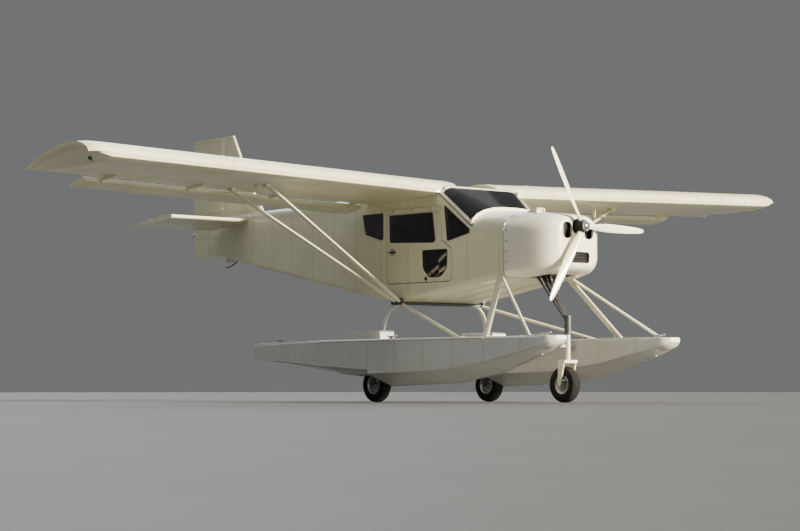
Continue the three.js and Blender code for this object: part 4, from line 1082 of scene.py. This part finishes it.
# Instrument panel: grained black sheet, round dials with bezels and pointers, a screen and knobs
reskin("instrument_panel", black)
reskin("control_stick", black)
PANEL_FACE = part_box("instrument_panel")[1].y
DIAL = ((0.0, 0.0), (0.0, 0.036), (0.0075, 0.036), (0.0085, 0.0345), (0.0085, 0.032), (0.0035, 0.031),
        (0.0035, 0.0))
SMALL_DIAL = tuple((along, radius * 0.72) for along, radius in DIAL)
# Columns: x, z, degrees that the pointer has turned from straight up
DIALS = (
    (-0.30, 1.665, 0), (-0.21, 1.665, -60), (-0.12, 1.665, 10),
    (-0.30, 1.58, 120), (-0.21, 1.58, 45), (-0.12, 1.58, -110))
GAUGES = (
    (0.24, 1.665, 0), (0.31, 1.665, -35), (0.38, 1.665, 70),
    (0.24, 1.59, -80), (0.31, 1.59, 15), (0.38, 1.59, -20))
SCREEN_X, SCREEN_Z = 0.06, 1.655
KNOB = ((0.0, 0.0), (0.0, 0.009), (0.004, 0.009), (0.006, 0.0065), (0.016, 0.0062), (0.018, 0.005),
        (0.018, 0.0))
KNOB_COUNT, KNOB_START, KNOB_STEP, KNOB_Z = 6, -0.03, 0.036, 1.565
THROTTLE_X, THROTTLE_Z = 0.02, 1.51
THROTTLE_KNOB = (
    (0.0, 0.0), (0.0, 0.008), (0.008, 0.011), (0.02, 0.0175), (0.03, 0.018), (0.036, 0.013), (0.037, 0.0))


def dial_marks(name, centre, reach):
    """Eight printed strokes round a dial, in one piece."""
    place = centre + Vector((0, 0.0038, reach * 0.76))
    marks = bevelled(block(name, place, (0.0016, 0.0008, reach * 0.16)), 0.0003, 1)
    with edit(marks):
        everything()
        bpy.ops.mesh.spin(steps=7, angle=math.radians(315), center=centre, axis=AFT, dupli=True)
    return complete(marks, pale_marks)


def dial_pointer(name, centre, reach):
    """A pointer that narrows towards its tip, standing straight up."""
    pointer = block(name, centre + Vector((0, 0.0048, reach * 0.3)), (0.0022, 0.001, reach * 0.7))
    with edit(pointer):
        pick("VERT", lambda vertex: vertex.co.z > centre.z + reach * 0.5)
        bpy.ops.transform.resize(value=(0.2, 1, 1), center_override=centre)
    return complete(pointer, pale_marks)


def dials(family, profile, layout):
    """Instruments of one size: a bezel round a sunken face, printed strokes and a pointer."""
    reach = max(radius for _, radius in profile)
    first = Vector((layout[0][0], PANEL_FACE - 0.0006, layout[0][1]))
    marks = dial_marks(f"{family}_marks_0", first, reach)
    pointer = dial_pointer(f"{family}_pointer_0", first, reach)
    from_first = Matrix.Translation(-first)
    for index, (x, z, degrees) in enumerate(layout):
        centre = Vector((x, first.y, z))
        turned_part(f"{family}_{index}", profile, centre, AFT, black, 40)
        if index:
            there = Matrix.Translation(centre)
            turn = Matrix.Rotation(math.radians(degrees), 4, "Y")
            placed(marks, f"{family}_marks_{index}", there @ from_first)
            placed(pointer, f"{family}_pointer_{index}", there @ turn @ from_first)


dials("dial", DIAL, DIALS)
dials("gauge", SMALL_DIAL, GAUGES)
screen = block("panel_screen", (SCREEN_X, PANEL_FACE, SCREEN_Z), (0.2, 0.02, 0.12))
with edit(screen):
    pick_facing(AFT)
    bpy.ops.mesh.inset(thickness=0.01)
    bpy.ops.mesh.inset(thickness=0.001, depth=-0.003)
complete(bevelled(screen, 0.003), black)
glass = block("panel_screen_glass", (SCREEN_X, PANEL_FACE + 0.0065, SCREEN_Z), (0.176, 0.002, 0.096))
with edit(glass):
    pick_facing(AFT)
    bpy.ops.mesh.inset(thickness=0.002)
complete(bevelled(glass, 0.0006, 1), dark_glass)
for index in range(KNOB_COUNT):
    place = Vector((KNOB_START + KNOB_STEP * index, PANEL_FACE - 0.001, KNOB_Z))
    turned_part(f"panel_knob_{index}", KNOB, place, AFT, black, 20)
throttle = [Vector((THROTTLE_X, PANEL_FACE + out, THROTTLE_Z)) for out in (-0.002, 0.06)]
pipe("throttle_rod", throttle, 0.0035, bare_metal)
turned_part("throttle_knob", THROTTLE_KNOB, throttle[1], AFT, black, 28)

# Foam grips on the stick's two arms
GRIP = ((0.0, 0.0), (0.0, 0.0165), (0.012, 0.0185), (0.03, 0.0178), (0.046, 0.0188), (0.064, 0.0178),
        (0.082, 0.0188), (0.096, 0.0165), (0.1, 0.010), (0.101, 0.0))
for side, sign in SIDES:
    foot, top = Vector((sign * 0.151, -1.456, 1.44)), Vector((sign * 0.159, -1.464, 1.532))
    turned_part(f"stick_grip_{side}", GRIP, foot, top - foot, rubber, 28)

# Rudder pedals on a cross tube above the floor
PEDAL_Y, PEDAL_TUBE_HALF = -2.0, 0.40
cabin_floor, _ = on_skin("cabin_shell", (0.3, PEDAL_Y, 1.45), DOWN)
tube_z = cabin_floor.z + 0.045
pipe("pedal_tube", [(sign * PEDAL_TUBE_HALF, PEDAL_Y, tube_z) for sign in (-1, 1)], 0.010, steel)
for index, x in enumerate((-0.32, -0.16, 0.16, 0.32)):
    arm = [(x, PEDAL_Y + back, tube_z + rise) for back, rise in ((0, 0), (0.03, 0.07), (0.035, 0.14))]
    pipe(f"pedal_arm_{index}", arm, 0.006, steel)
    pedal = block(f"pedal_{index}", (x, PEDAL_Y + 0.043, tube_z + 0.14), (0.075, 0.012, 0.055),
                  (math.radians(-14), 0, 0))
    with edit(pedal):
        pick_facing(AFT)
        bpy.ops.mesh.inset(thickness=0.007)
        bpy.ops.mesh.inset(thickness=0.0015, depth=-0.002)
    complete(bevelled(pedal, 0.003), bare_metal)


# floats: chine strips and deck rails, bow bumpers, hatches, pump caps, cleats, tape and lids

# Places are x, y. The left float's fittings are made first, and the right float's mirror them.
FLOAT_X = centre_of("float_left").x
FLOAT_ABOVE = 1.2
HATCHES = ((0.75, -2.86), (0.92, -1.32), (0.75, 0.30), (0.75, 0.78))
PUMP_CAPS = tuple((0.60, y) for y in (-2.62, -2.30, -1.98, -1.66, -0.20, 0.12, 0.46))
CLEATS = ((0.75, -3.12), (0.87, -1.12), (0.87, 0.62))
CLEAT_HORN = ((-0.075, 0.006), (-0.06, 0.002), (-0.03, 0), (0.03, 0), (0.06, 0.002), (0.075, 0.006))
TAPE_X, TAPE_WIDTH = 0.76, 0.2
TAPE_ENDS = ((-2.55, -2.28), (-2.08, -1.20), (-0.36, 0.18))
LID_FRONT, LID_REAR = -0.915, -0.433
WHEEL_BOX_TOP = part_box("float_left")[1].z
HATCH = (
    (0.0, 0.0), (0.0, 0.078), (0.004, 0.078), (0.006, 0.075), (0.006, 0.066), (0.0035, 0.064),
    (0.0035, 0.060), (0.008, 0.058), (0.0095, 0.052), (0.0095, 0.012), (0.007, 0.010), (0.007, 0.0))
PUMP_CAP = ((0.0, 0.0), (0.0, 0.019), (0.003, 0.019), (0.004, 0.012), (0.009, 0.0125), (0.013, 0.010),
            (0.0145, 0.005), (0.0148, 0.0))
FLANGE = ((0.0, 0.0), (0.0, 0.052), (0.005, 0.052), (0.007, 0.049), (0.007, 0.041),
          (0.016, 0.0375), (0.028, 0.0365), (0.03, 0.034), (0.03, 0.0))


def band(node, name, point, outward, grow, finish, rule=None):
    """A close-fitting sheet over the part of a CAD node that a plane and a rule leave."""
    piece = fresh_copy(node, name)
    with edit(piece):
        everything()
        bpy.ops.mesh.bisect(plane_co=point, plane_no=outward, clear_outer=True)
        if rule is not None:
            pick("FACE", lambda face: not rule(face))
            bpy.ops.mesh.delete(type="FACE")
    complete(bevelled(walled(piece, grow), grow * 0.4), finish)


def float_edges(low, high, least):
    """A rule: edges along a float, between two heights, where its plates meet at an angle."""
    def rule(edge):
        return (len(edge.link_faces) == 2 and abs(direction(edge).y) > 0.8
                and low < middle(edge).z < high
                and edge.link_faces[0].normal.angle(edge.link_faces[1].normal) > math.radians(least))
    return rule


def on_float(x, y):
    """The left float's top at a place, and its direction there."""
    return on_skin("float_left", (x, y, FLOAT_ABOVE), DOWN)


def cleat(index, x, y):
    """A cleat: two horns on a tapered foot."""
    place, _ = on_float(x, y)
    foot = block(f"cleat_foot_left_{index}", place + Vector((0, 0, 0.009)), (0.024, 0.06, 0.02))
    with edit(foot):
        pick_facing(UP)
        bpy.ops.transform.resize(value=(0.7, 0.7, 1), center_override=place)
    complete(bevelled(foot, 0.003), bare_metal)
    top = place + Vector((0, 0, 0.026))
    pipe(f"cleat_horn_left_{index}", [top + Vector((0, along, rise)) for along, rise in CLEAT_HORN],
         0.0065, bare_metal)


def deck_tape(index, front, rear):
    """A strip of grit tape with rounded corners."""
    place, _ = on_float(TAPE_X, (front + rear) / 2)
    strip = block(f"deck_tape_left_{index}", place + Vector((0, 0, 0.0005)),
                  (TAPE_WIDTH, rear - front, 0.003))
    with edit(strip):
        round_edges(Z, 0.03, 5)
    complete(strip, grit)


def wheel_box_lid():
    """A lid on the wheel box, with a pressed field and a piano hinge along its front."""
    lid = block("wheel_box_lid_left", (FLOAT_X, (LID_FRONT + LID_REAR) / 2, WHEEL_BOX_TOP + 0.0012),
                (0.164, LID_REAR - LID_FRONT, 0.006))
    with edit(lid):
        pick_facing(UP)
        bpy.ops.mesh.inset(thickness=0.012)
        bpy.ops.mesh.inset(thickness=0.004, depth=0.002)
    complete(bevelled(lid, 0.0012), grey_paint)
    hinge = [(FLOAT_X + off, LID_FRONT - 0.004, WHEEL_BOX_TOP - 0.002) for off in (-0.075, 0.075)]
    pipe("wheel_box_hinge_left", hinge, 0.005, bare_metal)


left_start = len(finished)
bead("float_left", "chine_strip_left", 0.0065, grey_paint, float_edges(0.165, 0.56, 28))
bead("float_left", "deck_rail_left", 0.0055, grey_paint, float_edges(0.585, 0.62, 50))
band("float_left", "bow_bumper_left", (0, -3.225, 0.6), (0, 1, 0.35), 0.006, bumper)
for index, place in enumerate(HATCHES):
    fitting(f"deck_hatch_left_{index}", HATCH, on_float(*place), bare_metal if index % 2 else grey_paint, 40)
for index, place in enumerate(PUMP_CAPS):
    fitting(f"pump_cap_left_{index}", PUMP_CAP, on_float(*place), rubber, 20)
for index, place in enumerate(CLEATS):
    cleat(index, *place)
for index, ends in enumerate(TAPE_ENDS):
    deck_tape(index, *ends)
wheel_box_lid()
for spreader in ("front_spreader", "rear_spreader"):
    foot, normal = on_skin("float_left", centre_of(spreader), LEFT)
    complete(turned(f"{spreader}_socket_left", FLANGE, foot - normal * 0.001, normal, 36), grey_paint)
mirrored(left_start)


# wings: strut shoes, root strips, fuel fillers, tip lamps, rings, covers and the pitot tube

STRUT_HEADS = (("front", 2.305, -1.005), ("rear", 2.312, -0.474))
SHOE_SIZE = (0.05, 0.09, 0.034)
COVER_Y, COVER_XS = -0.80, (1.05, 1.78, 2.88, 3.61)
TIE_RING = 0.02
BOLT = ((0.0, 0.0), (0.0, 0.008), (0.006, 0.008), (0.0075, 0.0062), (0.0075, 0.0))
FUEL_FILLER = (
    (0.0, 0.0), (0.0, 0.058), (0.003, 0.057), (0.0045, 0.046), (0.003, 0.044), (0.003, 0.041),
    (0.009, 0.040), (0.011, 0.036), (0.011, 0.0))
LAMP_BASE = ((-0.02, 0.0), (-0.02, 0.026), (0.001, 0.026), (0.004, 0.024), (0.004, 0.0))
TIP_LENS = ((0.0, 0.0), (0.0, 0.020), (0.010, 0.0195), (0.022, 0.016), (0.032, 0.009), (0.036, 0.0))
COVER = ((0.0, 0.0), (0.0, 0.064), (0.0016, 0.0635), (0.0022, 0.058), (0.0022, 0.0))


def under_wing(x, y):
    """The left wing's underside at a place, and its direction there."""
    return on_skin("wing_left", (x, y, 1.5), UP)


def strut_shoe(name, centre):
    """A folded bracket over a strut's end, with a through bolt."""
    shoe = block(name, centre, SHOE_SIZE)
    with edit(shoe):
        pick_facing(DOWN)
        bpy.ops.transform.resize(value=(0.7, 0.7, 1), center_override=centre)
        pick("FACE", lambda face: abs(face.normal.x) > 0.8)
        bpy.ops.mesh.inset(thickness=SHOE_SIZE[Z] * 0.16, use_individual=True)
        bpy.ops.mesh.extrude_region_shrink_fatten(TRANSFORM_OT_shrink_fatten={"value": 0.002})
    complete(bevelled(shoe, 0.0022), plain_paint)
    for sign, end in ((1, "a"), (-1, "b")):
        head = centre + Vector((sign * SHOE_SIZE[X] * 0.42, 0, 0))
        turned_part(f"{name}_bolt_{end}", BOLT, head, (sign, 0, 0), bare_metal, 6)


left_start = len(finished)
for label, x, y in STRUT_HEADS:
    place, _ = under_wing(x, y)
    strut_shoe(f"{label}_strut_shoe_left", Vector((x, y, place.z - 0.012)))
# root fairing: a strip of sheet that closes the gap between wing and cabin
band("wing_left", "wing_root_strip_left", (0.335, 0, 0), LEFT, 0.0016, plain_paint,
     lambda face: abs(face.normal.x) < 0.6 and face.calc_center_median().y < -0.36)
# fuel filler: a ring let into the wing, and its cap with a folding handle
place, normal = on_skin("wing_left", (0.98, -1.06, 3), DOWN)
fitting("fuel_filler_left", FUEL_FILLER, (place, normal), bare_metal, 40, sunk=0.001)
handle = block("fuel_handle_left", place + normal * 0.0125, (0.05, 0.011, 0.006))
with edit(handle):
    round_edges(Z, 0.005, 3)
complete(bevelled(handle, 0.001), bare_metal)
# tip lamp: a teardrop lens on a small base, red to the left and green to the right
place, _ = on_skin("wing_left", (5.5, -1.19, 2.135), RIGHT)
turned_part("tip_lamp_base_left", LAMP_BASE, place - Vector((0.001, 0, 0)), LEFT, bare_metal, 32)
turned_part("tip_lamp_lens_left", TIP_LENS, place - Vector((0.004, 0, 0)), LEFT, red_lens, 32)
# tie-down ring by the front strut's head
place, _ = under_wing(2.42, -1.0)
ring_turns = [math.radians(degrees) for degrees in range(0, 361, 30)]
pipe("tie_ring_left", [
    place + Vector((0, TIE_RING * math.sin(turn), 0.006 - TIE_RING + TIE_RING * math.cos(turn)))
    for turn in ring_turns], 0.0035, bare_metal)
# round inspection covers under the wing
for index, x in enumerate(COVER_XS):
    fitting(f"wing_cover_left_{index}", COVER, under_wing(x, COVER_Y), plain_paint, 40, sunk=0.0006)
mirrored(left_start)
bpy.data.objects["tip_lamp_lens_right"].data.materials[0] = green_lens

# Pitot tube under the left wing: a flat mast and a forward tube
place, _ = under_wing(1.92, -1.12)
mast = block("pitot_mast", place + Vector((0, 0, -0.055)), (0.012, 0.05, 0.13))
with edit(mast):
    pick("VERT", lambda vertex: vertex.co.z < place.z - 0.1)
    bpy.ops.transform.resize(value=(0.8, 0.55, 1), center_override=place)
complete(bevelled(mast, 0.004, 3), plain_paint)
pipe("pitot_tube", [place + Vector((0, along, -0.113)) for along in (0.03, -0.16)], 0.0065, bare_metal)


# doors and fuselage: handles, latch buttons, belly stringers and an aerial

HANDLE_DISH = (
    (-0.001, 0.0), (-0.001, 0.038), (0.0022, 0.037), (0.003, 0.033), (0.0008, 0.030), (0.0006, 0.0))
LATCH_BUTTON = ((0.0, 0.0), (0.0, 0.021), (0.003, 0.021), (0.005, 0.018), (0.0045, 0.012), (0.007, 0.010),
                (0.008, 0.0))
AERIAL_FOOT = ((0.0, 0.0), (0.0, 0.016), (0.004, 0.015), (0.008, 0.008), (0.014, 0.005), (0.014, 0.0))
STRINGER_XS, STRINGER_FRONT, STRINGER_REAR = (-0.26, 0.0, 0.26), -2.12, -1.00

left_start = len(finished)
place, normal = on_skin("door_left", (2, -0.735, 1.475), RIGHT)
fitting("door_handle_dish_left", HANDLE_DISH, (place, normal), bare_metal, 40, "door_left", 0)
handle = block("door_handle_left", place + normal * 0.006, (0.008, 0.104, 0.019))
with edit(handle):
    pick("VERT", lambda vertex: vertex.co.y > place.y + 0.03)
    bpy.ops.transform.resize(value=(1, 1, 0.6), center_override=place)
    round_edges(X, 0.006, 4)
complete(bevelled(handle, 0.002), black, "door_left")
latch = on_skin("door_left", (2, -1.24, 1.198), RIGHT)
fitting("door_latch_button_left", LATCH_BUTTON, latch, black, 24, "door_left", 0.001)
mirrored(left_start)

# Three hat-section stringers under the cabin
for index, x in enumerate(STRINGER_XS):
    first, last = (on_skin("cabin_shell", (x, y, 0.2), UP)[0] for y in (STRINGER_FRONT, STRINGER_REAR))
    rail = block(f"belly_stringer_{index}", (first + last) / 2, (0.032, (last - first).length, 0.016),
                 (math.atan2(last.z - first.z, last.y - first.y), 0, 0))
    with edit(rail):
        pick_facing(DOWN)
        bpy.ops.transform.resize(value=(0.55, 0.985, 1), center_override=(x, (first.y + last.y) / 2, 0))
    complete(bevelled(rail, 0.003), fuselage_paint)

# Aerial on the roof, behind the windshield, raked back
place, _ = on_skin("roof_skin", (0, -0.72, 3), DOWN)
turned_part("aerial_foot", AERIAL_FOOT, place - Vector((0, 0, 0.001)), UP, black, 24)
pipe("aerial", [place + Vector((0, back, rise)) for back, rise in ((0, 0.01), (0.03, 0.14), (0.09, 0.30))],
     0.0022, black)


# tail: a spring skid, the rudder's lamp and the elevator's trim horn

SKID = ((-0.10, 0.01), (-0.04, -0.02), (0.05, -0.045), (0.10, -0.045))
LAMP_CASE = ((-0.012, 0.0), (-0.012, 0.014), (0.0, 0.019), (0.006, 0.019), (0.006, 0.0))
TAIL_LENS = ((0.0, 0.0), (0.0, 0.017), (0.012, 0.016), (0.022, 0.011), (0.027, 0.0))
HORN_X, HORN_Y, TRIM_ROD_FRONT = 0.45, 2.765, 2.60

# a small spring skid under the last frame
place, _ = on_skin("tail_cone", (0, 2.62, 0.2), UP)
pipe("tail_skid", [place + Vector((0, back, rise)) for back, rise in SKID], 0.008, steel)
# a lamp on the rudder's trailing edge
place, _ = on_skin("rudder", (0, 4.5, 1.86), AHEAD)
turned_part("tail_lamp_case", LAMP_CASE, place, AFT, bare_metal, 24, "rudder")
turned_part("tail_lamp_lens", TAIL_LENS, place + Vector((0, 0.003, 0)), AFT, clear_lens, 28, "rudder")
# a trim horn and its rod on the elevator's left half
place, _ = on_skin("elevator", (HORN_X, 2.79, 3), DOWN)
horn = block("trim_horn", (HORN_X, HORN_Y, place.z + 0.014), (0.004, 0.036, 0.04))
with edit(horn):
    pick("VERT", lambda vertex: vertex.co.z > place.z + 0.02)
    bpy.ops.transform.resize(value=(1, 0.4, 1), center_override=(HORN_X, HORN_Y, place.z))
complete(bevelled(horn, 0.0014), bare_metal, "elevator")
pipe("trim_rod", [(HORN_X, HORN_Y, place.z + 0.026), (HORN_X, TRIM_ROD_FRONT, place.z + 0.03)],
     0.003, bare_metal, "elevator")
